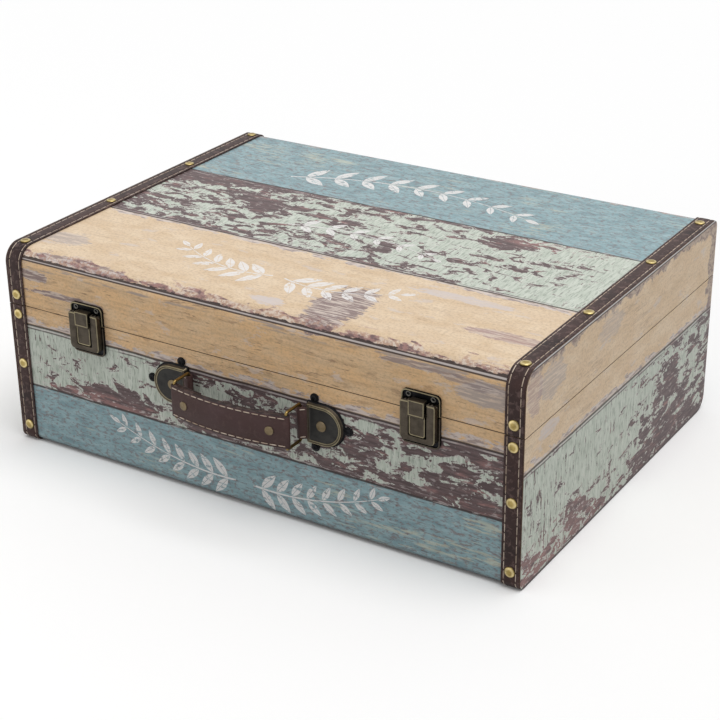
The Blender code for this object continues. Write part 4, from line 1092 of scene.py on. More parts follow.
def wire_tree():
    """A rectangular ring of round wire with bent corners, lying in the XY plane."""
    tree = Tree("wire_ring", ("Length", "Height", "Bend", "Wire"))
    size = {"Width": tree.given["Length"], "Height": tree.given["Height"]}
    path = tree.node("GeometryNodeCurvePrimitiveQuadrilateral", size)
    bend = {"Curve": path, "Count": 8, "Radius": tree.given["Bend"]}
    path = tree.node("GeometryNodeFilletCurve", bend, mode="POLY")
    profile = {"Resolution": 16, "Radius": tree.given["Wire"]}
    circle = tree.node("GeometryNodeCurvePrimitiveCircle", profile)
    sweep = {"Curve": path, "Profile Curve": circle}
    tree.close(tree.node("GeometryNodeCurveToMesh", sweep))


def heads_tree():
    """Copies of a modelled head on points, each facing its outward attribute and spun at random."""
    tree = Tree("set_heads", Head="Object", Seed="Int")
    head = tree.node("GeometryNodeObjectInfo", {"Object": tree.given["Head"]}, "Geometry")
    angle = {2: 0.0, 3: 2 * pi, "Seed": tree.given["Seed"]}
    spin = {"Axis": UPWARDS, "Angle": tree.node("FunctionNodeRandomValue", angle, 1)}
    turn = {"Rotation": tree.facing(), "Rotate By": tree.node("FunctionNodeAxisAngleToRotation", spin)}
    turn = tree.node("FunctionNodeRotateRotation", turn, rotation_space="LOCAL")
    tree.copied(tree.given["Geometry"], head, turn)


def grow(tree, mesh, material, values):
    """The plain mesh that a tree makes from a mesh of points or paths."""
    made = linked(mesh)
    values = {"Material": bpy.data.materials[material], **values}
    modifier = made.modifiers.new(tree, "NODES")
    modifier.node_group = bpy.data.node_groups[tree]
    for item in modifier.node_group.interface.items_tree:
        if item.in_out == "INPUT" and item.name in values:
            modifier[item.identifier] = values[item.name]
    return freeze(made)


def points_mesh(name, places=()):
    """Loose points, each with the direction that it faces."""
    mesh = bpy.data.meshes.new(name)
    mesh.from_pydata([place * MM for place, _ in places], [], [])
    outward = mesh.attributes.new("outward", "FLOAT_VECTOR", "POINT")
    for item, (_, direction) in zip(outward.data, places):
        item.vector = direction
    return mesh


def stitched(name, paths, pitch, length, radius, bluntness):
    """Stitches along open paths."""
    points, edges = [], []
    for path in paths:
        edges += [(len(points) + step, len(points) + step + 1) for step in range(len(path) - 1)]
        points += [point * MM for point in path]
    mesh = bpy.data.meshes.new(name)
    mesh.from_pydata(points, edges, [])
    values = {"Pitch": pitch * MM, "Length": length * MM, "Radius": radius * MM}
    return grow("stitch_row", mesh, "waxed_thread", {**values, "Bluntness": bluntness})


# Pieces


def build_covering():
    """The printed sheet round each half of the case and those on its ends."""
    middle, end = Vector((0, MIDDLE_Y, SEAM_Z)), BASE_HIGH.x

    def cut_or_inside(centre, normal):
        cut = abs(normal.x) > 0.5 or abs(centre.z - SEAM_Z) < 0.5
        return int(cut or normal.dot(centre - middle) <= 0)

    for half, is_lid in HALVES:
        outer, inner = wall_path(is_lid, 0), wall_path(is_lid, -COVER_THICKNESS)
        corners = ((-end, outer), (end, outer), (end, inner), (-end, inner))
        wrap = lofted([[Vector((x, y, z)) for y, z in path] for x, path in corners])
        paper = ["printed_planks", "cut_paper_edge"]
        mesh = mesh_of(f"{half}_print_wrap", [wrap], paper, cut_or_inside)
        settle(linked(store_run(mesh)), f"{half}_cover_wrap")
        for place, side in SIDES:
            ends = (side * END_LOW.x, side * END_HIGH.x)
            sheet = prism(wall_path(is_lid, END_PROUD), *ends, lambda y, z, x: Vector((x, y, z)))
            piece(
                f"{half}_{place}_print_end",
                f"{half}_{place}_end_cover",
                [sheet],
                ["printed_end_planks", "cut_paper_edge"],
                lambda centre, normal, side=side: int(normal.x * side <= 0.5),
            )


def band_section():
    """Outline (x, proud) of a band: two stitch channels and a low crown between them."""
    low, high = BAND_LOW.x, END_LOW.x - 0.05
    face, crown = BAND_PROUD - 0.12, BAND_PROUD - 0.02
    points = [(low, FIT_GAP)]
    points += arc(low + BAND_CORNER, face - BAND_CORNER, BAND_CORNER, pi, pi / 2, 4)
    for row in STITCH_ROWS:
        if row == STITCH_ROWS[-1]:
            middle = low + sum(STITCH_ROWS) / 2
            points += [(middle - 2.5, crown), (middle, BAND_PROUD), (middle + 2.5, crown)]
        for across in (-1, -0.5, 0, 0.5, 1):
            depth = STITCH_CHANNEL_DEPTH * cos(pi / 2 * across) ** 2
            points.append((low + row + across * STITCH_CHANNEL, face - depth))
    points += arc(high - BAND_ROUND, face - BAND_ROUND, BAND_ROUND, pi / 2, 0, 6)
    return points + [(high, FIT_GAP)]


def bent_round(mesh, is_lid):
    """Draws in what stands out past the bands' faces at the case's rounded corners."""
    far, towards = (TOP_Z, 1) if is_lid else (BOTTOM_Z, -1)
    for wall, outwards in ((FRONT_Y, -1), (BACK_Y, 1)):
        radius = corner_radius(is_lid, outwards < 0)
        for vertex in mesh.vertices:
            y = max((vertex.co.y / MM - wall) * outwards + radius, 0.0)
            z = max((vertex.co.z / MM - far) * towards + radius, 0.0)
            if hypot(y, z) > radius + BAND_PROUD:
                pull = ((radius + BAND_PROUD) / hypot(y, z) - 1) * MM
                vertex.co.y += pull * y * outwards
                vertex.co.z += pull * z * towards


def nail_places(is_lid, side):
    x = side * (BAND_LOW.x + BAND_HIGH.x) / 2
    foot, head = BOTTOM_Z + NAIL_FROM_EDGE, SEAM_Z + NAIL_RISES[1]
    heights = [head, foot + (head - foot) * MIDDLE_NAIL_SHARE, foot]
    places = []
    for z in [SEAM_Z + NAIL_RISES[0]] if is_lid else heights:
        places.append((on_front(x, z, BAND_PROUD), FORWARDS))
        places.append((on_back(x, z, BAND_PROUD), BACKWARDS))
    for share in TOP_NAIL_SHARES[side] if is_lid else ():
        y = FRONT_Y + (BACK_Y - FRONT_Y) * share
        places.append((on_top(x, y, BAND_PROUD), UPWARDS))
    return places


def build_bands():
    thread_proud = BAND_PROUD - 0.04 - STITCH_RADIUS
    for half, is_lid in HALVES:
        rows, nails = [], []
        for place, side in SIDES:
            edges = []
            for x, offset in band_section():
                path = wall_path(is_lid, offset, BAND_END_EASE)
                edges.append([Vector((side * x, y, z)) for y, z in path])
            node = f"{half}_{place}_band"
            piece(f"{node}_leather", node, [lofted(edges)], ["band_leatherette"])
            path = wall_path(is_lid, thread_proud, ((STITCH_PITCH / 2, 1.0),))
            for row in STITCH_ROWS:
                rows.append([Vector((side * (BAND_LOW.x + row), y, z)) for y, z in path])
            nails += nail_places(is_lid, side)
        stitch = (STITCH_PITCH, STITCH_LENGTH, STITCH_RADIUS, STITCH_BLUNTNESS)
        stitches = stitched(f"{half}_band_stitches", rows, *stitch)
        bent_round(stitches.data, is_lid)
        settle(stitches, f"{half}_left_band", False)
        size = {"Radius": NAIL_RADIUS * MM, "Height": NAIL_HEIGHT * MM, "Sink Share": NAIL_SINK_SHARE}
        points = points_mesh(f"{half}_band_nails", nails)
        settle(grow("nail_heads", points, "nail_brass", size), f"{half}_left_band", False)


def plate_outline(centre, low, high, inset, on_lid):
    """A latch plate's outline: two rounded corners at one end, straight across at the seam."""
    half = (STRIKE_HIGH.x - STRIKE_LOW.x) / 2 - inset
    radius = LATCH_CORNER - inset
    top = high - inset - radius
    points = [(half, low)] + arc(half - radius, top, radius, 0, pi / 2)
    points += arc(radius - half, top, radius, pi / 2, pi) + [(-half, low)]
    if on_lid:
        return [(centre + x, z) for x, z in points]
    return [(centre - x, low + high - z) for x, z in points]


def rim_bead(outline_at, foot, top):
    """A rounded bead along the open outline of a plate."""
    section = [(0.0, foot), (0.0, top - 0.45), (0.12, top - 0.15), (0.4, top)]
    section += [(LATCH_RIM - inset, proud) for inset, proud in section[::-1]]
    return lofted([[on_front(x, z, proud) for x, z in outline_at(inset)] for inset, proud in section])


def ear_outline():
    """Side view of a latch plate's ear, from its root to the round end at the pin."""
    root, head = FIT_GAP + LATCH_SHEET / 2, SEAM_Z - 2.5
    round_end = arc(*LEVER_AXLE, LATCH_EAR_RADIUS, 0, pi)
    return [(root, head), (root, SEAM_Z - 7), (5.7, head)] + round_end + [(2.3, head)]


def build_latch(place, side):
    centre, name = side * LATCH_X, f"{place}_latch"
    face = FIT_GAP + LATCH_SHEET
    metals = ["antique_bronze", "worn_bronze_edge"]
    for kind, on_lid, low, high in (
        ("strike_plate", True, STRIKE_LOW.z, STRIKE_HIGH.z),
        ("base_plate", False, CATCH_LOW.z, 2 * SEAM_Z - STRIKE_LOW.z),
    ):

        def outline_at(inset, low=low, high=high, on_lid=on_lid):
            return plate_outline(centre, low, high, inset, on_lid)

        shapes = [prism(outline_at(0.1), FIT_GAP, face, on_front)]
        shapes.append(rim_bead(outline_at, face - LATCH_RIM_SINK, face + LATCH_RIM_RISE))
        if on_lid:
            lug = rectangle(centre - LUG_HALF_WIDTH, centre + LUG_HALF_WIDTH, *LUG_HEIGHTS)
            shapes.append(prism(lug, face - FIT_GAP, face + LUG_PROUD, on_front))
        for ear in () if on_lid else (centre - LATCH_EAR_X, centre + LATCH_EAR_X):
            ends = (ear - LATCH_SHEET / 2, ear + LATCH_SHEET / 2)
            shapes.append(prism(ear_outline(), *ends, from_side))

        # The strike plate's rim top takes the worn bronze, partly wear and partly a painted highlight; the
        # base plate's rim keeps plain bronze
        def chosen(spot, normal, crown=2 if on_lid else 1):
            above = FRONT_Y - spot.y - face
            return crown if above > LATCH_RIM_RISE - 0.08 else int(above > 0.1)

        node = f"{name}_{kind}"
        piece(f"{node}_pressed", node, shapes, ["blackened_steel", *metals], chosen)
    build_lever(f"{name}_lever", centre, metals)
    build_tongue(f"{name}_tongue", centre, metals)
    for number in (1, 2):
        x = centre + (2 * number - 3) * STRIKE_SCREW_SPACING / 2
        node = f"{name}_screw_{number}"
        piece(
            f"{node}_eyelet",
            node,
            [turned(EYELET, on_front(x, SEAM_Z + STRIKE_SCREW_RISE, face), FORWARDS)],
            ["blackened_steel", "dull_steel"],
            lambda spot, normal: int(normal.y < -0.35 and FRONT_Y - spot.y > face + 0.55),
        )
    dressed(f"{name}_lever_pin", ["antique_bronze"], 0.15)


def lever_outline(centre, inset):
    """Front view of the lever: two legs with rounded tops and the band that joins their feet."""
    half, window = LEVER_WIDTH / 2 - inset, LEVER_WINDOW / 2 + inset
    low, high = LEVER_LOW.z + inset, LEVER_HIGH.z - inset
    foot, top, inner = (radius - inset for radius in LEVER_CORNERS)
    bend = 0.8 + inset
    bend_z = LEVER_WINDOW_FOOT - inset + bend
    points = arc(half - foot, low + foot, foot, 1.5 * pi, 2 * pi)
    points += arc(half - top, high - top, top, 0, pi / 2)
    points += arc(window + inner, high - inner, inner, pi / 2, pi, 4)
    points += arc(window - bend, bend_z, bend, 0, -pi / 2, 4)
    points += [(-x, z) for x, z in points[::-1]]
    return [(centre + x, z) for x, z in points]


def build_lever(node, centre, metals):
    """The lever: a pressed cover with folded flanges, rolled over at its top round the pin."""
    face, back = LEVER_FACE, LEVER_AXLE[0] - LEVER_NOSE
    levels = [(0.0, back)] + [(inset, face - drop) for inset, drop in LEVER_SECTION]
    cover = terraced(lambda inset: lever_outline(centre, inset), levels, on_front)
    made = linked(mesh_of(f"{node}_pressed", [cover]))
    low, shoulder_z, half = LEVER_LOW.z, SEAM_Z + 8.0, LEVER_WIDTH / 2 + 1
    side_view = [(back, low - 1), (face + 1, low - 1), (face + 1, shoulder_z - 0.4)]
    side_view += [(face + 0.02, shoulder_z)]
    side_view += arc(face - 1.5, shoulder_z, 1.5, 0, radians(58), 5)
    side_view += arc(*LEVER_AXLE, LEVER_NOSE, radians(62), pi, 12)
    boolean(made, prism(side_view, centre - half, centre + half, from_side), "INTERSECT")
    inner, outer = LEVER_WINDOW / 2 + LATCH_SHEET, LEVER_WIDTH / 2 - LATCH_SHEET
    floor, over, sill = low + LATCH_SHEET, LEVER_HIGH.z + 1, LEVER_WINDOW_FOOT + FIT_GAP
    for left, right, top in ((-outer, -inner, over), (inner, outer, over), (-inner, inner, sill)):
        hollow = rectangle(centre + left, centre + right, floor, top)
        boolean(made, prism(hollow, back - 1, face - LATCH_SHEET, on_front))
    boolean(made, rod(1.1, half, LEVER_AXLE, centre, 20))
    boolean(made, rod(1.2, inner + 0.2, TONGUE_AXLE, centre, 20))

    # Rounded outer edges take the worn bronze, partly wear and partly a painted highlight
    def chosen(spot, normal):
        at_edge = abs(spot.x - centre) > 11.5 or spot.z > SEAM_Z + 7.5
        rounded = FRONT_Y - spot.y > face - 0.45 and -0.985 < normal.y < -0.2
        return int(at_edge and rounded)

    clad(made.data, metals, chosen)
    settle(made, node)


def panel_outline(centre, low, high, half, top_corner, foot_corner, inset):
    corners = []
    for quarter, (x_side, z_side) in enumerate(((1, 1), (-1, 1), (-1, -1), (1, -1))):
        radius = max((top_corner if z_side > 0 else foot_corner) - inset, 0.05)
        x = centre + x_side * (half - inset - radius)
        z = (high if z_side > 0 else low) - z_side * (inset + radius)
        corners += arc(x, z, radius, quarter * pi / 2, (quarter + 1) * pi / 2, 5)
    return corners


def build_tongue(node, centre, metals):
    """The tongue: two panels with raised borders, the upper one a step prouder."""
    half = TONGUE_WIDTH / 2
    faces = (TONGUE_FACE, TONGUE_FACE + TONGUE_STEP)
    shapes = []
    for sizes, face in (
        ((SEAM_Z - 15.5, SEAM_Z + 0.4, half, 0.3, 1.9), faces[0]),
        ((SEAM_Z, SEAM_Z + 11.2, half, 0.8, 0.3), faces[1]),
    ):
        levels = [(inset, face - drop) for inset, drop in TONGUE_SECTION]

        def outline_at(inset, sizes=sizes):
            return panel_outline(centre, *sizes, inset)

        shapes.append(terraced(outline_at, levels, on_front))
    nib = rectangle(centre - half + 0.5, centre + half - 0.5, SEAM_Z + 9.8, SEAM_Z + 11.1)
    shapes.append(prism(nib, 3.1, faces[1] - TONGUE_THICKNESS + 0.2, on_front))
    shapes.append(rod(2.2, half, TONGUE_AXLE, centre, 28))
    shapes.append(rod(0.9, 8.4, TONGUE_AXLE, centre, 16))
    web = rectangle(centre - half + 0.3, centre + half - 0.3, SEAM_Z - 1, SEAM_Z + 1.6)
    shapes.append(prism(web, 5.0, faces[1] - 0.5, on_front))

    # The borders' tops take the worn bronze, partly wear and partly a painted highlight
    def chosen(spot, normal):
        return int(any(face - 0.14 < FRONT_Y - spot.y < face + 0.05 for face in faces))

    piece(f"{node}_panels", node, shapes, metals, chosen)


def plate_d_outline(side, inset):
    """A D: straight towards the middle of the case and round away from it."""
    radius = PLATE_RADIUS - inset
    corner = max(PLATE_CORNER - 0.4 * inset, 0.8)
    start = PLATE_LOW.x + inset + corner
    points = arc(PLATE_ARC_X, HANDLE_Z, radius, -pi / 2, pi / 2, 28)
    points += arc(start, HANDLE_Z + radius - corner, corner, pi / 2, pi, 6)
    points += arc(start, HANDLE_Z - radius + corner, corner, pi, 1.5 * pi, 6)
    return [(side * x, z) for x, z in points]


def plate_inset(x, z):
    """How far a place is inside the D's outline, and whether its straight side is the nearest."""
    if x > PLATE_ARC_X:
        return PLATE_RADIUS - hypot(x - PLATE_ARC_X, z - HANDLE_Z), False
    from_straight, from_curve = x - PLATE_LOW.x, PLATE_RADIUS - abs(z - HANDLE_Z)
    return min(from_straight, from_curve), from_straight < from_curve


def ear_places(side):
    edge_x, reach = side * (PLATE_LOW.x + EAR_FROM_EDGE), PLATE_RADIUS + EAR_REACH
    outer_x = side * (PLATE_HIGH.x - EAR_RADIUS)
    return [(edge_x, HANDLE_Z + reach), (edge_x, HANDLE_Z - reach), (outer_x, HANDLE_Z)]


def build_handle_plate(node, side):
    """The pressed D plate: black flange and ears, a double rim whose ridges are partly worn and partly
    painted highlight, and a dark dish.
    """
    levels = [*PLATE_FOOT, *((inset, PLATE_TOP - drop) for inset, drop in PLATE_DISH)]
    dish = terraced(lambda inset: plate_d_outline(side, inset), levels, on_front)
    made = linked(mesh_of(f"{node}_pressed", [dish]))
    ear = [(EAR_RADIUS, 0), (EAR_RADIUS, PLATE_FLANGE - 0.25), (EAR_RADIUS - 0.25, PLATE_FLANGE)]
    places = [on_front(x, z, FIT_GAP) for x, z in ear_places(side)]
    boolean(made, [turned(ear, foot, FORWARDS) for foot in places], "UNION")
    half = (TAB_HIGH.z - TAB_LOW.z) / 2 - 2.6
    ends = sorted((side * (PLATE_LOW.x - 4), side * (TAB_HIGH.x + FIT_GAP)))
    tail = rectangle(*ends, HANDLE_Z - half, HANDLE_Z + half)
    boolean(made, prism(tail, -4, 2.9, on_front))

    # Ridge tops of the rim take the worn bronze, partly wear and partly a painted highlight; the straight
    # side, in the tab's shadow, keeps plain bronze
    def chosen(spot, normal):
        inset, straight = plate_inset(abs(spot.x), spot.z)
        if inset < 0.95 or FRONT_Y - spot.y < 1.35:
            return 0
        if inset > 3.9:
            return 1
        return 2 if straight or inset < 1.6 or 2.42 < inset < 3.2 else 3

    metals = ["blackened_steel", "dark_dish", "antique_bronze", "worn_bronze_edge"]
    clad(made.data, metals, chosen)
    settle(made, node)
    x = side * (PLATE_LOW.x + PLATE_RIVET_FROM_EDGE)
    foot = on_front(x, HANDLE_Z, PLATE_TOP - PLATE_DISH[-1][1])
    rivet = turned(PLATE_RIVET, foot, FORWARDS)
    piece(f"{node}_rivet_head", f"{node}_rivet", [rivet], ["rivet_brass"])


def screw_head(name, radius, height, material):
    """A domed head with a cross recess, standing on the origin, for the trees to copy."""
    profile = [(radius * 0.5, -0.3), (radius, 0), (radius, 0.25 * height)]
    for ring in range(1, 6):
        angle = pi / 2 * ring / 5.5
        profile.append((radius * cos(angle), (0.25 + 0.75 * sin(angle)) * height))
    head = turned(profile, Vector(), UPWARDS, 24)
    made = linked(mesh_of(name, [head], [material]))
    for a, b in ((0.55 * radius, 0.13 * radius), (0.13 * radius, 0.55 * radius)):
        boolean(made, prism(rectangle(-a, a, -b, b), 0.5 * height, 2 * height, upright))
    shade(made.data)
    return made


def set_screws(name, node, places, head, material, seed, stands=True):
    values = {"Head": head, "Seed": seed}
    settle(grow("set_heads", points_mesh(name, places), material, values), node, stands)


def on_strap(x, proud, z):
    """A place so far proud of the middle of the strap's bowed thickness."""
    return on_front(x, z, RING_PROUD + STRAP_BOW * (1 - (x / RING_X) ** 2) + proud)


def strap_layer(inner, outer, left, right, steps):
    """A bowed layer of the strap between two depths of its thickness, with eased long edges."""
    low, high, ease = STRAP_LOW.z, STRAP_HIGH.z, STRAP_EASE
    section = (
        (inner + ease / 2, low),
        (outer - ease, low),
        (outer, low + ease),
        (outer, HANDLE_Z),
        (outer, high - ease),
        (outer - ease, high),
        (inner + ease / 2, high),
        (inner, high - ease / 2),
        (inner, low + ease / 2),
    )
    places = [left + (right - left) * step / steps for step in range(steps + 1)]
    return skin([[on_strap(x, proud, z) for proud, z in section] for x in places])


def strap_wrap(side):
    """The end of the strap's outer layer, bent round a ring's wire."""
    low, high, ease, steps = STRAP_LOW.z, STRAP_HIGH.z, STRAP_EASE, 12
    section = (
        (1.45, low + ease / 2),
        (1.45, high - ease / 2),
        (1.7, high),
        (STRAP_HALF - ease, high),
        (STRAP_HALF, high - ease),
        (STRAP_HALF, low + ease),
        (STRAP_HALF - ease, low),
        (1.7, low),
    )
    rings = []
    for step in range(steps + 1):
        across, out = sin(pi * step / steps), cos(pi * step / steps)
        rings.append([on_front(side * (RING_X + r * across), z, RING_PROUD + r * out) for r, z in section])
    return skin(rings)


def build_strap():
    """The strap: an outer layer that wraps each ring and is folded back along the inside."""
    shapes = [strap_layer(-0.9, STRAP_HALF, -RING_X, RING_X, 24)]
    for side in (-1, 1):
        ends = (side * RING_X, side * (RING_X - STRAP_FOLD_LENGTH))
        shapes.append(strap_wrap(side))
        shapes.append(strap_layer(-STRAP_HALF, -1.25, *ends, 12))
    piece(
        "handle_strap_leather",
        "handle_strap",
        shapes,
        ["strap_leather", "strap_painted_edge"],
        lambda centre, normal: int(abs(normal.z) > 0.4),
        smooth=radians(50),
    )
    reach, steps = RING_X - STRAP_STITCH_FROM_RING, 32
    xs = [-reach + 2 * reach * step / steps for step in range(steps + 1)]
    heights = (STRAP_LOW.z + STRAP_STITCH_INSET, STRAP_HIGH.z - STRAP_STITCH_INSET)
    rows = [[on_strap(x, STRAP_HALF, z) for x in xs] for z in heights]
    stitch = (STRAP_STITCH_LENGTH, STRAP_STITCH_RADIUS, STRAP_STITCH_BLUNTNESS)
    stitches = stitched("handle_strap_stitches", rows, 2 * reach / STRAP_STITCHES, *stitch)
    settle(stitches, "handle_strap", False)
    face = STRAP_HALF + 0.05
    profile = [(radius, height - face) for radius, height in STRAP_RIVET_BACK]
    profile += [(radius, height + face) for radius, height in STRAP_RIVET_HEAD]
    for place, side in SIDES:
        x = side * STRAP_RIVET_X
        outward = Vector((2 * STRAP_BOW * x / RING_X**2, -1, 0)).normalized()
        node = f"handle_strap_{place}_rivet"
        rivet = turned(profile, on_strap(x, 0, HANDLE_Z), outward)
        piece(f"{node}_head", node, [rivet], ["rivet_brass"])


def build_ring(node):
    size = RING_HIGH - RING_LOW
    values = {
        "Length": (size.y - 2 * RING_WIRE) * MM,
        "Height": (size.z - 2 * RING_WIRE) * MM,
        "Bend": RING_BEND * MM,
        "Wire": RING_WIRE * MM,
    }
    made = grow("wire_ring", points_mesh(f"{node}_wire"), "ring_brass", values)
    low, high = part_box(node)
    on_edge = Matrix(((0, 0, 1, 0), (1, 0, 0, 0), (0, 1, 0, 0), (0, 0, 0, 1)))
    made.data.transform(Matrix.Translation((low + high) / 2) @ on_edge)
    settle(made, node)


def build_tab(node, side):
    """The leather tab: a bead round the ring's wire, a tail to the plate and two stitches."""
    dressed(node, ["strap_leather"], 0.25)
    half = (TAB_HIGH.z - TAB_LOW.z) / 2 - 0.15

    def place(along, proud, z):
        return on_front(side * (RING_X + along), HANDLE_Z + z, proud)

    rings = []
    for z, ease in ((-half, 0.21), (0.35 - half, 0.0), (half - 0.35, 0.0), (half, 0.21)):
        ring = [place(along, proud - ease, z) for along, proud in TAB_FACE]
        rings.append(ring + [place(along, proud + ease, z) for along, proud in TAB_UNDER])
    piece(f"{node}_tail", node, [skin(rings)], ["strap_leather"], stands=False)
    paths = []
    for z in (1.6 - half, half - 1.6):
        first, second = (place(*spot, z) for spot in TAB_FACE[1:3])
        middle, reach = (first + second) / 2, (second - first).normalized() * 0.1
        paths.append([middle - reach, middle + reach])
    settle(stitched(f"{node}_stitches", paths, 20, 4.2, 0.36, 0.5), node, False)


def build_handle(head):
    for place, side in SIDES:
        name = f"handle_{place}"
        build_handle_plate(f"{name}_plate", side)
        build_tab(f"{name}_tab", side)
        build_ring(f"{name}_ring")
        for number, (x, z) in enumerate(ear_places(side), start=1):
            node = f"{name}_screw_{number}"
            places = [(on_front(x, z, FIT_GAP + PLATE_FLANGE), FORWARDS)]
            set_screws(f"{node}_head", node, places, head, "blackened_steel", number)
    build_strap()


def build_hinges(head):
    """Bevelled leaves with three wood screws each, and their pins."""
    for half, is_lid in HALVES:
        places = []
        for place, side in SIDES:
            leaf = f"{place}_hinge_{half}_leaf"
            # The leaves' eased edges take the worn bronze, partly wear and partly a painted highlight
            dressed(leaf, ["antique_bronze", "worn_bronze_edge"], 0.2, 1)
            for along, rise in HINGE_SCREWS:
                z = SEAM_Z + (rise if is_lid else -rise)
                foot = on_back(side * LATCH_X + along, z, FIT_GAP + LATCH_SHEET)
                places.append((foot, BACKWARDS))
        screws = (places, head, "antique_bronze", 5, False)
        set_screws(f"{half}_hinge_screws", f"left_hinge_{half}_leaf", *screws)
    for place, _ in SIDES:
        dressed(f"{place}_hinge_pin", ["antique_bronze"], 0.15)


# Sprigs of white print


def ribbon(points, widths):
    """Outline of a ribbon along a row of points, with a half width at each."""
    left, right = [], []
    for index, (a, b) in enumerate(points):
        before, after = points[max(index - 1, 0)], points[min(index + 1, len(points) - 1)]
        width = widths[index] / hypot(after[0] - before[0], after[1] - before[1])
        across = ((before[1] - after[1]) * width, (after[0] - before[0]) * width)
        left.append((a + across[0], b + across[1]))
        right.append((a - across[0], b - across[1]))
    return left + right[::-1]


def curve_points(ends, steps):
    """Points on a parabola through the first and last of three points that leans to the second."""
    points = []
    for step in range(steps + 1):
        t = step / steps
        shares = ((1 - t) ** 2, 2 * t * (1 - t), t**2)
        points.append([sum(s * end[axis] for s, end in zip(shares, ends)) for axis in (0, 1)])
    return points


def leaf_halves(root, angle, length, width):
    """A pointed leaf in two halves with a bare rib between them."""
    halves = []
    for side in (-1, 1):
        half = []
        for share in (step / 8 for step in range(9)):
            swell = sin(pi * share**0.85) * width / 2
            half.append((share * length, side * (swell + 0.18)))
        half += [(length * 0.96, side * 0.16), (0, side * 0.16)]
        across, along = Vector((-sin(angle), cos(angle))), Vector((cos(angle), sin(angle)))
        halves.append([Vector(root) + along * a + across * b for a, b in half])
    return halves


def sprig(ends, pairs, length, width):
    """Outlines of a leafy sprig: its stem, pairs of leaves and one leaf at its tip."""
    steps = 4 * pairs
    stem = curve_points(ends, steps)
    outlines = [ribbon(stem, [0.75 * (1 - 0.65 * step / steps) for step in range(steps + 1)])]

    def direction(index):
        (a0, b0), (a1, b1) = stem[index : index + 2]
        return atan2(b1 - b0, a1 - a0)

    for pair in range(pairs):
        index = 4 * pair + 2
        size = 1 - 0.45 * pair / pairs
        for side in (-1, 1):
            angle = direction(index) + side * radians(48)
            root = (stem[index][0] + 1.2 * cos(angle), stem[index][1] + 1.2 * sin(angle))
            outlines += leaf_halves(root, angle, length * size, width * size)
    return outlines + leaf_halves(stem[-1], direction(steps - 1), length * 0.6, width * 0.55)


def build_printed_sprigs():
    """Plain leafy sprigs in worn white print on the front and the top."""
    front, top = [], []
    z, y, far = BOTTOM_Z + 23, FRONT_Y + TOP_PLANK, BACK_Y - TOP_PLANK
    for side in (-1, 1):
        ends = ((-6 + side * 8, z - 5), (-6 + side * 60, z - 9), (-6 + side * 114, z + 14))
        front += sprig(ends, 8, 18, 6.5)
        ends = ((-8 + side * 5, y - 52), (-8 + side * 46, y - 66), (-8 + side * 92, y - 36))
        top += sprig(ends, 6, 22, 8)
    top += sprig(((-122, far + 26), (-20, far + 76), (92, far + 34)), 9, 25, 9)
    top += sprig(((-62, y + 40), (0, y + 60), (70, y + 34)), 6, 17, 6.5)
    for name, half, outlines, place in (
        ("base_front_white_sprigs", "base", front, on_front),
        ("lid_top_white_sprigs", "lid", top, on_top),
    ):
        shapes = []
        for number, outline in enumerate(outlines):
            film = PRINT_FILM * (1 + 0.1 * (number % 16))
            shapes.append(prism(outline, PRINT_GAP, PRINT_GAP + film, place))
        mesh = mesh_of(name, shapes, ["worn_white_print"])
        settle(linked(store_run(mesh)), f"{half}_cover_wrap", False)


def dress_inside():
    """Procedural finishes on the boards and the linings, whose shapes are right as they are."""
    finishes = {"board": "fibreboard", "lining": "lining_cloth"}
    for node, made in frame["nodes"].items():
        kind = node.split("_")[-1]
        if kind in finishes:
            made.data.materials.clear()
            made.data.materials.append(bpy.data.materials[finishes[kind]])


# Stage


def lamp(name, kind, energy, place, aim, **settings):
    """A lamp at a place in metres, turned towards its aim."""
    data = bpy.data.lights.new(name, kind)
    data.energy = energy
    for key, value in settings.items():
        setattr(data, key, value)
    made = linked(data)
    made.location = place
    made.rotation_mode = "QUATERNION"
    made.rotation_quaternion = (place - aim).to_track_quat("Z", "Y")


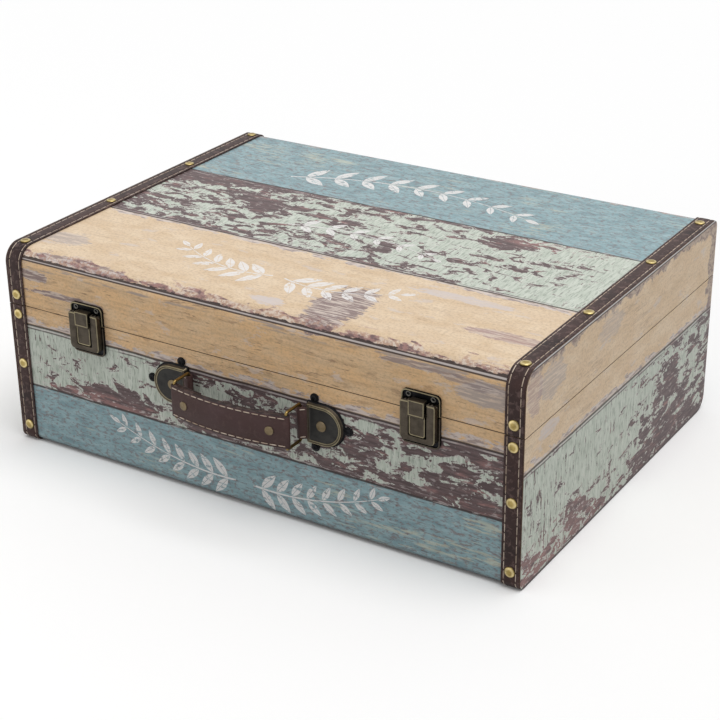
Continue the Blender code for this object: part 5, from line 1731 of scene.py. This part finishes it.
def build_stage():
    """A pale floor, soft light from above and the rest of the room as white."""
    mesh = bpy.data.meshes.new("floor")
    corners = rectangle(-FLOOR_REACH, FLOOR_REACH, -FLOOR_REACH, FLOOR_REACH)
    mesh.from_pydata([(x, y, 0) for x, y in corners], [], [(0, 1, 2, 3)])
    coat = Coat("floor")
    lit = coat.mix(coat.spots(40, 0.5, 0.3, 2), (0.40, 0.40, 0.40, 1), (0.42, 0.42, 0.42, 1))
    coat.done(coat.mix(coat.seen(), lit, (0.99, 0.99, 0.99, 1)), 0.9, Specular_IOR_Level=0.0)
    mesh.materials.append(coat.material)
    linked(mesh)
    world = bpy.data.worlds.new("room")
    bpy.context.scene.world = world
    world.use_nodes = True
    room = Graph(world.node_tree)
    background = room.tree.nodes["Background"].inputs
    background["Color"].default_value = (1, 1, 1, 1)
    strength = room.node("ShaderNodeMapRange", {0: room.seen(), 3: ROOM_LIGHT, 4: 1.0})
    room.feed(background["Strength"], strength)
    above = Vector((sin(OVERHEAD_TILT), 0.0, cos(OVERHEAD_TILT))) * 2
    lamp("overhead_light", "SUN", OVERHEAD_LIGHT * pi, above, Vector(), angle=radians(50))
    lamp("front_light", "AREA", FRONT_LIGHT, FRONT_LIGHT_PLACE, FRONT_LIGHT_AIM, size=0.8)


def build_camera():
    data = bpy.data.cameras.new("camera")
    data.sensor_width = 36
    data.lens = FOCAL_PIXELS / FRAME_PIXELS * data.sensor_width
    camera = linked(data)
    flat = cos(CAMERA_ELEVATION)
    back = Vector((sin(CAMERA_AZIMUTH) * flat, -cos(CAMERA_AZIMUTH) * flat, sin(CAMERA_ELEVATION)))
    level = (-back).cross(Vector(UPWARDS)).normalized()
    up = level.cross(-back)
    right = level * cos(CAMERA_ROLL) + up * sin(CAMERA_ROLL)
    raised = up * cos(CAMERA_ROLL) - level * sin(CAMERA_ROLL)
    camera.rotation_mode = "QUATERNION"
    camera.rotation_quaternion = Matrix((right, raised, back)).transposed().to_quaternion()
    camera.location = CAMERA_TARGET + back * CAMERA_DISTANCE
    bpy.context.scene.camera = camera


def main():
    build_camera()
    build_stage()
    bpy.context.scene.view_settings.view_transform = "Standard"
    build_materials()
    for build_tree in (stitch_tree, nail_tree, wire_tree, heads_tree):
        build_tree()
    black_head = screw_head("black_head", *BLACK_HEAD, "blackened_steel")
    bronze_head = screw_head("bronze_head", *BRONZE_HEAD, "antique_bronze")
    build_covering()
    build_printed_sprigs()
    build_bands()
    for place, side in SIDES:
        build_latch(place, side)
    build_handle(black_head)
    build_hinges(bronze_head)
    dress_inside()
    for head in (black_head, bronze_head):
        bpy.data.objects.remove(head)


main()
